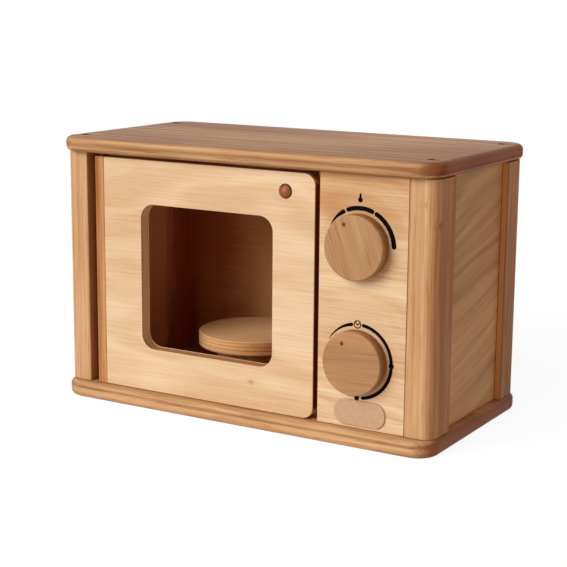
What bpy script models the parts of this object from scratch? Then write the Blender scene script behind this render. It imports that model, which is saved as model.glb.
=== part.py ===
"""Toy microwave: a wooden cabinet with a windowed door on hidden pins, two dials and a turntable.

Metres, +Z up. The origin is the middle of the base, +X points to the dials' side and the door faces -Y.
"""
import math

import bmesh
import bpy
from mathutils import Vector

# Cabinet
WIDTH = 0.320
DEPTH = 0.1655
HEIGHT = 0.2054
BASE_THICKNESS = 0.0128
LID_THICKNESS = 0.0115
BOARD_CORNER_RADIUS = 0.0174
BOARD_EDGE_RADIUS = 0.0043
SIDE_OVERHANG = 0.0019
END_OVERHANG = 0.0075
POST_WIDTH = 0.021
POST_DEPTH = 0.029
POST_CORNER_RADIUS = 0.009
POST_ARRIS_RADIUS = 0.0005
GROOVE_DEPTH = 0.006

# Panels
THIN_PLY = 0.004
FRONT_PLY = 0.010
SIDE_RECESS = 0.0048
REAR_RECESS = 0.002
CONTROL_WIDTH = 0.0693
CONTROL_ARRIS = 0.0005
DIVIDER_INSET = 0.008
DIVIDER_PLY = 0.006
HOUSING_DEPTH = 0.003

# Door
DOOR_LATCH_GAP = 0.0036
DOOR_HINGE_GAP = 0.0072
DOOR_HEAD_GAP = 0.0028
DOOR_SILL_GAP = 0.0005
DOOR_CORNER_RADIUS = 0.009
DOOR_ARRIS = 0.0004
STILE_WIDTH = 0.0085
STILE_EDGE_RADIUS = 0.0015
WINDOW_SIDE_MARGIN = 0.0341
WINDOW_RAIL = 0.0327
WINDOW_RADIUS = 0.011
HINGE_PIN_RADIUS = 0.002
HINGE_PIN_GRIP = 0.011
HINGE_BOARD_GRIP = 0.008

# Magnetic catch
PLUG_RADIUS = 0.005
PLUG_FROM_EDGE = 0.0243
PLUG_FROM_TOP = 0.0139
PLUG_DOME = 0.0014
MAGNET_THICKNESS = 0.0035
CATCH_WIDTH = 0.022
CATCH_DEPTH = 0.018
CATCH_UNDER = 0.010
CATCH_ARRIS = 0.001

# Dials
DIAL_FROM_LEFT = 0.0319
DIAL_HEIGHT_SHARES = {"lower": 0.2709, "upper": 0.7226}
KNOB_RADIUS = 0.023
KNOB_THICKNESS = 0.0092
KNOB_STANDOFF = 0.0008
KNOB_FACE_RADIUS = 0.0013
KNOB_BACK_RADIUS = 0.0007
SPINDLE_RADIUS = 0.005
SPINDLE_GRIP = 0.006
COLLAR_RADIUS = 0.011
COLLAR_THICKNESS = 0.006
COLLAR_ROUNDING = 0.001
SPINDLE_TAIL = 0.003

# Turntable
DISC_RADIUS = 0.0445
DISC_THICKNESS = 0.011
DISC_ROUNDING = 0.001
DISC_BORE_DEPTH = 0.007
HUB_RADIUS = 0.030
HUB_HEIGHT = 0.028
HUB_ROUNDING = 0.001
PIVOT_RADIUS = 0.004
KEEPER_RECESS_RADIUS = 0.0095
KEEPER_RECESS_DEPTH = 0.0045
WASHER_RADIUS = 0.008
WASHER_THICKNESS = 0.001
WASHER_BORE_RADIUS = 0.002
KEEPER_HEAD_RADIUS = 0.0035
KEEPER_HEAD_HEIGHT = 0.0019
KEEPER_SHANK_RADIUS = 0.0015
KEEPER_SHANK_LENGTH = 0.014

# Corner screws
SCREW_RECESS_RADIUS = 0.0045
SCREW_RECESS_DEPTH = 0.0032
SCREW_HEAD_RADIUS = 0.0039
SCREW_HEAD_HEIGHT = 0.0024
SCREW_HEAD_ROUNDING = 0.0011
SCREW_SHANK_RADIUS = 0.002
SCREW_SHANK_LENGTH = 0.032

# Fits and drawing
FIT_GAP = 0.0003
OVERRUN = 0.002
MERGE_DISTANCE = 0.000001
CORNER_STEPS = 8
SMALL_CORNER_STEPS = 3
EDGE_STEPS = 5
LARGE_TURN_STEPS = 56
SMALL_TURN_STEPS = 24
FASTENER_STEPS = 16
ROUND_PROFILE_SHARE = 0.5
SHARP_ANGLE = math.radians(35)

# Places that follow from the sizes above
BASE_TOP_Z = BASE_THICKNESS
LID_UNDER_Z = HEIGHT - LID_THICKNESS
POST_OUTER_X = WIDTH / 2 - SIDE_OVERHANG
POST_INNER_X = POST_OUTER_X - POST_WIDTH
POST_OUTER_Y = DEPTH / 2 - END_OVERHANG
POST_INNER_Y = POST_OUTER_Y - POST_DEPTH
FRONT_Y = -POST_OUTER_Y
FRONT_BACK_Y = FRONT_Y + FRONT_PLY
SIDE_OUTER_X = POST_OUTER_X - SIDE_RECESS
SIDE_INNER_X = SIDE_OUTER_X - THIN_PLY
REAR_OUTER_Y = POST_OUTER_Y - REAR_RECESS
REAR_INNER_Y = REAR_OUTER_Y - THIN_PLY
CONTROL_RIGHT_X = POST_INNER_X - FIT_GAP
CONTROL_LEFT_X = POST_INNER_X - CONTROL_WIDTH
DIVIDER_LEFT_X = CONTROL_LEFT_X + DIVIDER_INSET
DOOR_RIGHT_X = CONTROL_LEFT_X - DOOR_LATCH_GAP
STILE_LEFT_X = DOOR_HINGE_GAP - POST_INNER_X
STILE_RIGHT_X = STILE_LEFT_X + STILE_WIDTH
DOOR_LEFT_X = STILE_RIGHT_X + FIT_GAP
DOOR_LOW_Z = BASE_TOP_Z + DOOR_SILL_GAP
DOOR_HIGH_Z = LID_UNDER_Z - DOOR_HEAD_GAP
HINGE = Vector(((STILE_LEFT_X + STILE_RIGHT_X) / 2, (FRONT_Y + FRONT_BACK_Y) / 2, 0))
CATCH = Vector((DOOR_RIGHT_X - PLUG_FROM_EDGE, FRONT_Y, DOOR_HIGH_Z - PLUG_FROM_TOP))
DIAL_X = CONTROL_LEFT_X + DIAL_FROM_LEFT
TURN_CENTRE = Vector(((STILE_LEFT_X + DOOR_RIGHT_X) / 2, (FRONT_BACK_Y + REAR_INNER_Y) / 2, 0))
HUB_LOW_Z = BASE_TOP_Z + FIT_GAP
HUB_HIGH_Z = HUB_LOW_Z + HUB_HEIGHT
DISC_LOW_Z = HUB_HIGH_Z + FIT_GAP
SCREW_X = (POST_OUTER_X + POST_INNER_X) / 2
SCREW_Y = (POST_OUTER_Y + POST_INNER_Y) / 2
SIDE_NAMES = {-1: "left", 1: "right"}
END_NAMES = {-1: "front", 1: "rear"}
CORNERS = [(across, back) for across in SIDE_NAMES for back in END_NAMES]
RUBBERWOOD = ((0.66, 0.36, 0.16), 0.42, 0)
BOARD_WOOD = ((0.62, 0.35, 0.17), 0.45, 0)
PALE_PLY = ((0.80, 0.54, 0.28), 0.48, 0)
SIDE_PLY = ((0.60, 0.35, 0.15), 0.50, 0)
STILE_WOOD = ((0.60, 0.28, 0.10), 0.42, 0)
KNOB_WOOD = ((0.56, 0.31, 0.14), 0.45, 0)
PLUG_WOOD = ((0.26, 0.08, 0.03), 0.35, 0)
BRONZED_STEEL = ((0.16, 0.11, 0.08), 0.35, 1)
BRIGHT_STEEL = ((0.60, 0.60, 0.62), 0.30, 1)


def clear_scene():
    """Empties the scene, so that the file builds the same model each time it is run."""
    for item in list(bpy.data.objects):
        bpy.data.objects.remove(item)


def wood_or_metal(name, finish):
    """A plain material from a colour, a roughness and a metallic value."""
    colour, roughness, metallic = finish
    made = bpy.data.materials.new(name)
    made.use_nodes = True
    shader = made.node_tree.nodes["Principled BSDF"]
    shader.inputs["Base Color"].default_value = (*colour, 1)
    shader.inputs["Roughness"].default_value = roughness
    shader.inputs["Metallic"].default_value = metallic
    return made


def rounded(corners, steps):
    """An outline whose corners, given as (u, v, radius), are rounded by arcs of that radius."""
    points = []
    count = len(corners)
    for index, (u, v, radius) in enumerate(corners):
        corner = Vector((u, v))
        if radius == 0:
            points.append(corner)
            continue
        back = (Vector(corners[index - 1][:2]) - corner).normalized()
        ahead = (Vector(corners[(index + 1) % count][:2]) - corner).normalized()
        half = back.angle(ahead) / 2
        centre = corner + (back + ahead).normalized() * radius / math.sin(half)
        start = corner + back * radius / math.tan(half) - centre
        end = corner + ahead * radius / math.tan(half) - centre
        first = math.atan2(start.y, start.x)
        turn = math.remainder(math.atan2(end.y, end.x) - first, math.tau)
        for step in range(steps + 1):
            angle = first + turn * step / steps
            points.append(centre + Vector((math.cos(angle), math.sin(angle))) * radius)
    return points


def rectangle(low_u, high_u, low_v, high_v, radius=0):
    """The four corners of a rectangle, each with the same radius."""
    places = [(low_u, low_v), (high_u, low_v), (high_u, high_v), (low_u, high_v)]
    return [(u, v, radius) for u, v in places]


def on_axis(axis, u, v, along):
    """A point with two coordinates across an axis and one along it."""
    return Vector({"X": (along, u, v), "Y": (u, along, v), "Z": (u, v, along)}[axis])


def add_prism(mesh, outline, axis, low, high):
    """Extrudes an outline along X, Y or Z from low to high, and returns the edges round its two ends."""
    face = mesh.faces.new([mesh.verts.new(on_axis(axis, u, v, low)) for u, v in outline])
    made = bmesh.ops.extrude_face_region(mesh, geom=[face])["geom"]
    lifted = [item for item in made if isinstance(item, bmesh.types.BMVert)]
    bmesh.ops.translate(mesh, verts=lifted, vec=on_axis(axis, 0, 0, high - low))
    ends = [face] + [item for item in made if isinstance(item, bmesh.types.BMFace)]
    return {edge for end in ends for edge in end.edges}


def add_turned(mesh, corners, centre, axis, steps):
    """Turns a profile of (radius, height, rounding) corners round an axis through the centre.

    Heights run up along Z, or forwards, towards -Y. A profile that starts off the axis is a ring.
    """
    along = -on_axis("Y", 0, 0, 1) if axis == "Y" else on_axis(axis, 0, 0, 1)
    across = Vector((1, 0, 0))
    outline = rounded(corners, SMALL_CORNER_STEPS)
    points = [mesh.verts.new(centre + across * radius + along * height) for radius, height in outline]
    pairs = list(zip(points, points[1:]))
    if corners[0][0] > 0:
        pairs.append((points[-1], points[0]))
    edges = [mesh.edges.new(pair) for pair in pairs]
    parts = points + edges
    bmesh.ops.spin(mesh, geom=parts, cent=centre, axis=along, angle=math.tau, steps=steps, use_merge=True)
    bmesh.ops.remove_doubles(mesh, verts=mesh.verts, dist=MERGE_DISTANCE)


def add_object(name, mesh, finish, origin=Vector()):
    """Makes a named object of a mesh, with its origin at a point, which is on the axis of a moving piece."""
    bmesh.ops.recalc_face_normals(mesh, faces=mesh.faces)
    bmesh.ops.translate(mesh, verts=mesh.verts, vec=-origin)
    data = bpy.data.meshes.new(name)
    mesh.to_mesh(data)
    mesh.free()
    data.shade_smooth()
    data.set_sharp_from_angle(angle=SHARP_ANGLE)
    data.materials.append(wood_or_metal(name, finish))
    made = bpy.data.objects.new(name, data)
    made.location = origin
    bpy.context.scene.collection.objects.link(made)
    return made


def cut(target, mesh):
    """Cuts the solids of a mesh out of an object."""
    cutter = add_object(target.name + "_cutter", mesh, BRIGHT_STEEL)
    cutter.hide_render = True
    cutter.display_type = "WIRE"
    modifier = target.modifiers.new("cut", "BOOLEAN")
    modifier.operation = "DIFFERENCE"
    modifier.object = cutter


def soften(target, width):
    """Takes the sharp edges off an object."""
    modifier = target.modifiers.new("soften", "BEVEL")
    modifier.width = width
    modifier.segments = SMALL_CORNER_STEPS - 1
    modifier.limit_method = "ANGLE"
    modifier.angle_limit = SHARP_ANGLE


def add_rod(mesh, centre, axis, radius, low, high, steps=SMALL_TURN_STEPS):
    """A plain cylinder from low to high along its axis, as add_turned counts heights."""
    profile = [(0, low, 0), (radius, low, 0), (radius, high, 0), (0, high, 0)]
    add_turned(mesh, profile, centre, axis, steps)


def screw_place(across, back):
    """The middle of a corner post."""
    return Vector((SCREW_X * across, SCREW_Y * back, 0))


def flipped(height, upright):
    """A height measured up from the base, or down from the top when it isn't upright."""
    return height if upright else HEIGHT - height


def board(name, thickness, upright):
    """The base or the lid: round at its corners and edges, and bored for its screws and a hinge pin."""
    mesh = bmesh.new()
    corners = rectangle(-WIDTH / 2, WIDTH / 2, -DEPTH / 2, DEPTH / 2, BOARD_CORNER_RADIUS)
    outline = rounded(corners, CORNER_STEPS)
    rims = list(add_prism(mesh, outline, "Z", flipped(0, upright), flipped(thickness, upright)))
    bmesh.ops.recalc_face_normals(mesh, faces=mesh.faces)
    bmesh.ops.bevel(
        mesh,
        geom=rims,
        offset=BOARD_EDGE_RADIUS,
        segments=EDGE_STEPS,
        profile=ROUND_PROFILE_SHARE,
        affect="EDGES",
    )
    made = add_object(name, mesh, BOARD_WOOD)
    holes = bmesh.new()
    through = thickness + OVERRUN
    steps = [(SCREW_RECESS_RADIUS, SCREW_RECESS_DEPTH), (SCREW_SHANK_RADIUS + FIT_GAP, through)]
    for corner in CORNERS:
        add_turned(holes, stepped_hole(steps, upright), screw_place(*corner), "Z", FASTENER_STEPS)
    blind = thickness - HINGE_BOARD_GRIP - FIT_GAP
    ends = (flipped(blind, upright), flipped(through, upright))
    add_rod(holes, HINGE, "Z", HINGE_PIN_RADIUS + FIT_GAP, *ends, FASTENER_STEPS)
    if upright:
        steps = [(KEEPER_RECESS_RADIUS, KEEPER_RECESS_DEPTH), (PIVOT_RADIUS + FIT_GAP, through)]
        add_turned(holes, stepped_hole(steps, upright), TURN_CENTRE, "Z", SMALL_TURN_STEPS)
    cut(made, holes)


def stepped_hole(steps, upright):
    """The profile of a hole that starts outside a board and narrows at each (radius, depth) step."""
    outside = flipped(-OVERRUN, upright)
    profile = [(0, outside, 0)]
    start = outside
    for radius, depth in steps:
        end = flipped(depth, upright)
        profile += [(radius, start, 0), (radius, end, 0)]
        start = end
    return profile + [(0, start, 0)]


def corner_post(across, back):
    """A corner post: round at its outer corner, grooved for the panels, with a pilot hole at each end."""
    outer_x, outer_y = POST_OUTER_X, POST_OUTER_Y
    groove_low_x = SIDE_INNER_X - FIT_GAP
    groove_high_x = SIDE_OUTER_X + FIT_GAP
    groove_y = POST_INNER_Y + GROOVE_DEPTH
    corners = [
        (POST_INNER_X, POST_INNER_Y, POST_ARRIS_RADIUS),
        (groove_low_x, POST_INNER_Y, 0),
        (groove_low_x, groove_y, 0),
        (groove_high_x, groove_y, 0),
        (groove_high_x, POST_INNER_Y, 0),
        (outer_x, POST_INNER_Y, POST_ARRIS_RADIUS),
        (outer_x, outer_y, POST_CORNER_RADIUS),
        (POST_INNER_X, outer_y, POST_ARRIS_RADIUS),
    ]
    if back > 0:
        groove_x = POST_INNER_X + GROOVE_DEPTH
        corners[-1] = (POST_INNER_X, outer_y, 0)
        corners += [
            (POST_INNER_X, REAR_OUTER_Y + FIT_GAP, 0),
            (groove_x, REAR_OUTER_Y + FIT_GAP, 0),
            (groove_x, REAR_INNER_Y - FIT_GAP, 0),
            (POST_INNER_X, REAR_INNER_Y - FIT_GAP, 0),
        ]
    outline = [(u * across, v * back) for u, v in rounded(corners, CORNER_STEPS)]
    mesh = bmesh.new()
    add_prism(mesh, outline, "Z", BASE_TOP_Z + FIT_GAP, LID_UNDER_Z - FIT_GAP)
    made = add_object(f"post_{END_NAMES[back]}_{SIDE_NAMES[across]}", mesh, RUBBERWOOD)
    holes = bmesh.new()
    reach = SCREW_RECESS_DEPTH + SCREW_SHANK_LENGTH + OVERRUN
    for thickness, upright in ((BASE_THICKNESS, True), (LID_THICKNESS, False)):
        ends = (flipped(thickness - OVERRUN, upright), flipped(reach, upright))
        add_rod(holes, screw_place(across, back), "Z", SCREW_SHANK_RADIUS + FIT_GAP, *ends, FASTENER_STEPS)
    cut(made, holes)


def corner_screws(name, upright):
    """Four screws with low round heads, sunk in the board and running into the posts' ends."""
    seat = SCREW_RECESS_DEPTH - FIT_GAP
    head = seat - SCREW_HEAD_HEIGHT
    profile = [
        (0, flipped(head, upright), 0),
        (SCREW_HEAD_RADIUS, flipped(head, upright), SCREW_HEAD_ROUNDING),
        (SCREW_HEAD_RADIUS, flipped(seat, upright), 0),
        (SCREW_SHANK_RADIUS, flipped(seat, upright), 0),
        (SCREW_SHANK_RADIUS, flipped(seat + SCREW_SHANK_LENGTH - SCREW_SHANK_RADIUS, upright), 0),
        (0, flipped(seat + SCREW_SHANK_LENGTH, upright), 0),
    ]
    for across, back in CORNERS:
        mesh = bmesh.new()
        add_turned(mesh, profile, screw_place(across, back), "Z", FASTENER_STEPS)
        add_object(f"{name}_{END_NAMES[back]}_{SIDE_NAMES[across]}", mesh, BRONZED_STEEL)


def side_panel(across):
    """A thin plywood side whose edges lie in the grooves of two posts."""
    mesh = bmesh.new()
    reach = POST_INNER_Y + GROOVE_DEPTH - FIT_GAP
    corners = rectangle(-reach, reach, BASE_TOP_Z + FIT_GAP, LID_UNDER_Z - FIT_GAP)
    outline = rounded(corners, SMALL_CORNER_STEPS)
    add_prism(mesh, outline, "X", SIDE_INNER_X * across, SIDE_OUTER_X * across)
    add_object("side_panel_" + SIDE_NAMES[across], mesh, SIDE_PLY)


def rear_panel():
    """The thin plywood back, in the grooves of the rear posts."""
    mesh = bmesh.new()
    reach = POST_INNER_X + GROOVE_DEPTH - FIT_GAP
    corners = rectangle(-reach, reach, BASE_TOP_Z + FIT_GAP, LID_UNDER_Z - FIT_GAP)
    outline = rounded(corners, SMALL_CORNER_STEPS)
    add_prism(mesh, outline, "Y", REAR_INNER_Y, REAR_OUTER_Y)
    add_object("rear_panel", mesh, SIDE_PLY)


def dial_centre(which):
    """Where a dial's axis meets the front of the control panel."""
    opening = LID_UNDER_Z - BASE_TOP_Z
    return Vector((DIAL_X, FRONT_Y, BASE_TOP_Z + opening * DIAL_HEIGHT_SHARES[which]))


def control_panel():
    """The plywood panel beside the door, bored for the two spindles and housed for the divider."""
    mesh = bmesh.new()
    corners = rectangle(CONTROL_LEFT_X, CONTROL_RIGHT_X, BASE_TOP_Z + FIT_GAP, LID_UNDER_Z - FIT_GAP)
    add_prism(mesh, rounded(corners, SMALL_CORNER_STEPS), "Y", FRONT_Y, FRONT_BACK_Y)
    made = add_object("control_panel", mesh, PALE_PLY)
    soften(made, CONTROL_ARRIS)
    holes = bmesh.new()
    for which in DIAL_HEIGHT_SHARES:
        add_rod(holes, dial_centre(which), "Y", SPINDLE_RADIUS + FIT_GAP, -FRONT_PLY - OVERRUN, OVERRUN)
    left = DIVIDER_LEFT_X - FIT_GAP
    right = DIVIDER_LEFT_X + DIVIDER_PLY + FIT_GAP
    groove = rounded(rectangle(left, right, BASE_TOP_Z - OVERRUN, LID_UNDER_Z + OVERRUN), SMALL_CORNER_STEPS)
    add_prism(holes, groove, "Y", FRONT_BACK_Y - HOUSING_DEPTH, FRONT_BACK_Y + OVERRUN)
    cut(made, holes)


def divider_panel():
    """The wall between the oven and the dials' compartment, housed in the back of the control panel."""
    mesh = bmesh.new()
    front = FRONT_BACK_Y - HOUSING_DEPTH + FIT_GAP
    corners = rectangle(front, REAR_INNER_Y - FIT_GAP, BASE_TOP_Z + FIT_GAP, LID_UNDER_Z - FIT_GAP)
    outline = rounded(corners, SMALL_CORNER_STEPS)
    add_prism(mesh, outline, "X", DIVIDER_LEFT_X, DIVIDER_LEFT_X + DIVIDER_PLY)
    add_object("divider_panel", mesh, SIDE_PLY)


def door_panel():
    """The plywood door with its round-cornered window and the bore for the catch."""
    mesh = bmesh.new()
    corners = [
        (DOOR_LEFT_X, DOOR_LOW_Z, 0),
        (DOOR_RIGHT_X, DOOR_LOW_Z, DOOR_CORNER_RADIUS),
        (DOOR_RIGHT_X, DOOR_HIGH_Z, DOOR_CORNER_RADIUS),
        (DOOR_LEFT_X, DOOR_HIGH_Z, 0),
    ]
    add_prism(mesh, rounded(corners, CORNER_STEPS), "Y", FRONT_Y, FRONT_BACK_Y)
    made = add_object("door_panel", mesh, PALE_PLY, HINGE)
    window = bmesh.new()
    left = DOOR_LEFT_X + WINDOW_SIDE_MARGIN
    right = DOOR_RIGHT_X - WINDOW_SIDE_MARGIN
    corners = rectangle(left, right, DOOR_LOW_Z + WINDOW_RAIL, DOOR_HIGH_Z - WINDOW_RAIL, WINDOW_RADIUS)
    add_prism(window, rounded(corners, CORNER_STEPS), "Y", FRONT_Y - OVERRUN, FRONT_BACK_Y + OVERRUN)
    cut(made, window)
    soften(made, DOOR_ARRIS)
    bore = bmesh.new()
    add_rod(bore, CATCH, "Y", PLUG_RADIUS + FIT_GAP, -FRONT_PLY - OVERRUN, OVERRUN)
    cut(made, bore)


def door_stile():
    """The solid wood edge that the door turns on, bored at both ends for the hinge pins."""
    mesh = bmesh.new()
    corners = [
        (STILE_LEFT_X, FRONT_Y, STILE_EDGE_RADIUS),
        (STILE_RIGHT_X, FRONT_Y, 0),
        (STILE_RIGHT_X, FRONT_BACK_Y, 0),
        (STILE_LEFT_X, FRONT_BACK_Y, STILE_EDGE_RADIUS),
    ]
    add_prism(mesh, rounded(corners, CORNER_STEPS), "Z", DOOR_LOW_Z, DOOR_HIGH_Z)
    made = add_object("door_stile", mesh, STILE_WOOD, HINGE)
    holes = bmesh.new()
    radius = HINGE_PIN_RADIUS + FIT_GAP
    grip = HINGE_PIN_GRIP + FIT_GAP
    ends = [(DOOR_LOW_Z - OVERRUN, DOOR_LOW_Z + grip), (DOOR_HIGH_Z - grip, DOOR_HIGH_Z + OVERRUN)]
    for low, high in ends:
        add_rod(holes, HINGE, "Z", radius, low, high, FASTENER_STEPS)
    cut(made, holes)


def hinge_pins():
    """Two dark steel pins, fast in the stile and free in the boards."""
    spans = {
        "bottom": (BASE_TOP_Z - HINGE_BOARD_GRIP, DOOR_LOW_Z + HINGE_PIN_GRIP),
        "top": (DOOR_HIGH_Z - HINGE_PIN_GRIP, LID_UNDER_Z + HINGE_BOARD_GRIP),
    }
    for where, (low, high) in spans.items():
        mesh = bmesh.new()
        add_rod(mesh, HINGE, "Z", HINGE_PIN_RADIUS, low, high, FASTENER_STEPS)
        add_object("hinge_pin_" + where, mesh, BRONZED_STEEL, HINGE)


def door_catch():
    """The domed wooden plug in the door, with a magnet behind it in the same bore."""
    magnet_back = -FRONT_PLY + FIT_GAP
    magnet_front = magnet_back + MAGNET_THICKNESS
    plug_back = magnet_front + FIT_GAP
    mesh = bmesh.new()
    profile = [(0, plug_back, 0), (PLUG_RADIUS, plug_back, 0), (PLUG_RADIUS, -FIT_GAP, 0)]
    for step in range(1, EDGE_STEPS + 1):
        angle = math.pi / 2 * step / EDGE_STEPS
        profile.append((PLUG_RADIUS * math.cos(angle), (PLUG_DOME + FIT_GAP) * math.sin(angle) - FIT_GAP, 0))
    profile[-1] = (0, PLUG_DOME, 0)
    add_turned(mesh, profile, CATCH, "Y", SMALL_TURN_STEPS)
    add_object("door_plug", mesh, PLUG_WOOD, HINGE)
    mesh = bmesh.new()
    add_rod(mesh, CATCH, "Y", PLUG_RADIUS, magnet_back, magnet_front)
    add_object("door_magnet", mesh, BRIGHT_STEEL, HINGE)


def cabinet_catch():
    """The block under the lid that stops the door, with a magnet facing the door's own."""
    front = FRONT_BACK_Y + FIT_GAP
    mesh = bmesh.new()
    half = CATCH_WIDTH / 2
    corners = rectangle(CATCH.x - half, CATCH.x + half, CATCH.z - CATCH_UNDER, LID_UNDER_Z - FIT_GAP)
    corners[0] = (*corners[0][:2], CATCH_ARRIS)
    corners[1] = (*corners[1][:2], CATCH_ARRIS)
    add_prism(mesh, rounded(corners, SMALL_CORNER_STEPS), "Y", front, front + CATCH_DEPTH)
    made = add_object("catch_block", mesh, RUBBERWOOD)
    seat = -FRONT_PLY - FIT_GAP
    bore = bmesh.new()
    add_rod(bore, CATCH, "Y", PLUG_RADIUS + FIT_GAP, seat - MAGNET_THICKNESS - FIT_GAP, seat + OVERRUN)
    cut(made, bore)
    mesh = bmesh.new()
    add_rod(mesh, CATCH, "Y", PLUG_RADIUS, seat - MAGNET_THICKNESS, seat)
    add_object("catch_magnet", mesh, BRIGHT_STEEL)


def dial(which):
    """A turned knob on a dowel spindle, held behind the panel by a collar."""
    centre = dial_centre(which)
    face = KNOB_STANDOFF + KNOB_THICKNESS
    grip = KNOB_STANDOFF + SPINDLE_GRIP
    mesh = bmesh.new()
    profile = [
        (0, face, 0),
        (KNOB_RADIUS, face, KNOB_FACE_RADIUS),
        (KNOB_RADIUS, KNOB_STANDOFF, KNOB_BACK_RADIUS),
        (SPINDLE_RADIUS + FIT_GAP, KNOB_STANDOFF, 0),
        (SPINDLE_RADIUS + FIT_GAP, grip + FIT_GAP, 0),
        (0, grip + FIT_GAP, 0),
    ]
    add_turned(mesh, profile, centre, "Y", LARGE_TURN_STEPS)
    add_object("knob_" + which, mesh, KNOB_WOOD, centre)
    collar_front = -FRONT_PLY - FIT_GAP
    collar_back = collar_front - COLLAR_THICKNESS
    mesh = bmesh.new()
    add_rod(mesh, centre, "Y", SPINDLE_RADIUS, collar_back - SPINDLE_TAIL, grip)
    add_object("spindle_" + which, mesh, RUBBERWOOD, centre)
    mesh = bmesh.new()
    profile = [
        (SPINDLE_RADIUS + FIT_GAP, collar_front, 0),
        (COLLAR_RADIUS, collar_front, COLLAR_ROUNDING),
        (COLLAR_RADIUS, collar_back, COLLAR_ROUNDING),
        (SPINDLE_RADIUS + FIT_GAP, collar_back, 0),
    ]
    add_turned(mesh, profile, centre, "Y", SMALL_TURN_STEPS)
    add_object("collar_" + which, mesh, RUBBERWOOD, centre)


def turntable():
    """A disc on a fixed hub, turning with a dowel that a washer and a screw hold from below."""
    bore = PIVOT_RADIUS + FIT_GAP
    mesh = bmesh.new()
    profile = [
        (bore, HUB_LOW_Z, 0),
        (HUB_RADIUS, HUB_LOW_Z, 0),
        (HUB_RADIUS, HUB_HIGH_Z, HUB_ROUNDING),
        (bore, HUB_HIGH_Z, 0),
    ]
    add_turned(mesh, profile, TURN_CENTRE, "Z", LARGE_TURN_STEPS)
    add_object("turntable_hub", mesh, RUBBERWOOD)
    top = DISC_LOW_Z + DISC_THICKNESS
    mesh = bmesh.new()
    profile = [
        (0, top, 0),
        (DISC_RADIUS, top, DISC_ROUNDING),
        (DISC_RADIUS, DISC_LOW_Z, DISC_ROUNDING),
        (bore, DISC_LOW_Z, 0),
        (bore, DISC_LOW_Z + DISC_BORE_DEPTH, 0),
        (0, DISC_LOW_Z + DISC_BORE_DEPTH, 0),
    ]
    add_turned(mesh, profile, TURN_CENTRE, "Z", LARGE_TURN_STEPS)
    add_object("turntable_disc", mesh, PALE_PLY, TURN_CENTRE)
    turntable_pivot()


def turntable_pivot():
    """The dowel in the disc, bored from below for the screw that keeps it and its washer in the base."""
    foot = KEEPER_RECESS_DEPTH
    pilot = KEEPER_SHANK_RADIUS + FIT_GAP
    washer_top = foot - FIT_GAP
    washer_low = washer_top - WASHER_THICKNESS
    head_top = washer_low - FIT_GAP
    shank_top = head_top + KEEPER_SHANK_LENGTH
    high = DISC_LOW_Z + DISC_BORE_DEPTH - FIT_GAP
    mesh = bmesh.new()
    profile = [
        (0, high, 0),
        (PIVOT_RADIUS, high, 0),
        (PIVOT_RADIUS, foot, 0),
        (pilot, foot, 0),
        (pilot, shank_top + FIT_GAP, 0),
        (0, shank_top + FIT_GAP, 0),
    ]
    add_turned(mesh, profile, TURN_CENTRE, "Z", SMALL_TURN_STEPS)
    add_object("turntable_pivot", mesh, RUBBERWOOD, TURN_CENTRE)
    mesh = bmesh.new()
    profile = rectangle(WASHER_BORE_RADIUS, WASHER_RADIUS, washer_low, washer_top)
    add_turned(mesh, profile, TURN_CENTRE, "Z", SMALL_TURN_STEPS)
    add_object("turntable_washer", mesh, BRIGHT_STEEL, TURN_CENTRE)
    mesh = bmesh.new()
    profile = [
        (0, head_top - KEEPER_HEAD_HEIGHT, 0),
        (KEEPER_HEAD_RADIUS, head_top - KEEPER_HEAD_HEIGHT, 0),
        (KEEPER_HEAD_RADIUS, head_top, 0),
        (KEEPER_SHANK_RADIUS, head_top, 0),
        (KEEPER_SHANK_RADIUS, shank_top, 0),
        (0, shank_top, 0),
    ]
    add_turned(mesh, profile, TURN_CENTRE, "Z", FASTENER_STEPS)
    add_object("turntable_screw", mesh, BRIGHT_STEEL, TURN_CENTRE)


def main():
    """Builds the whole toy."""
    clear_scene()
    board("bottom_board", BASE_THICKNESS, True)
    board("top_board", LID_THICKNESS, False)
    for corner in CORNERS:
        corner_post(*corner)
    for across in SIDE_NAMES:
        side_panel(across)
    rear_panel()
    control_panel()
    divider_panel()
    corner_screws("bottom_screw", True)
    corner_screws("top_screw", False)
    door_panel()
    door_stile()
    hinge_pins()
    door_catch()
    cabinet_catch()
    for which in DIAL_HEIGHT_SHARES:
        dial(which)
    turntable()


main()
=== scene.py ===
"""Toy microwave: the finish of every piece, the printed dials, the bare badge plate, the light and the view.

Metres, in the frame of the built parts: +Z up, the door faces -Y and the dials are towards +X.
"""
import math
from functools import partial
from typing import NamedTuple

import bmesh
import bpy
from mathutils import Color, Matrix, Vector


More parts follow.
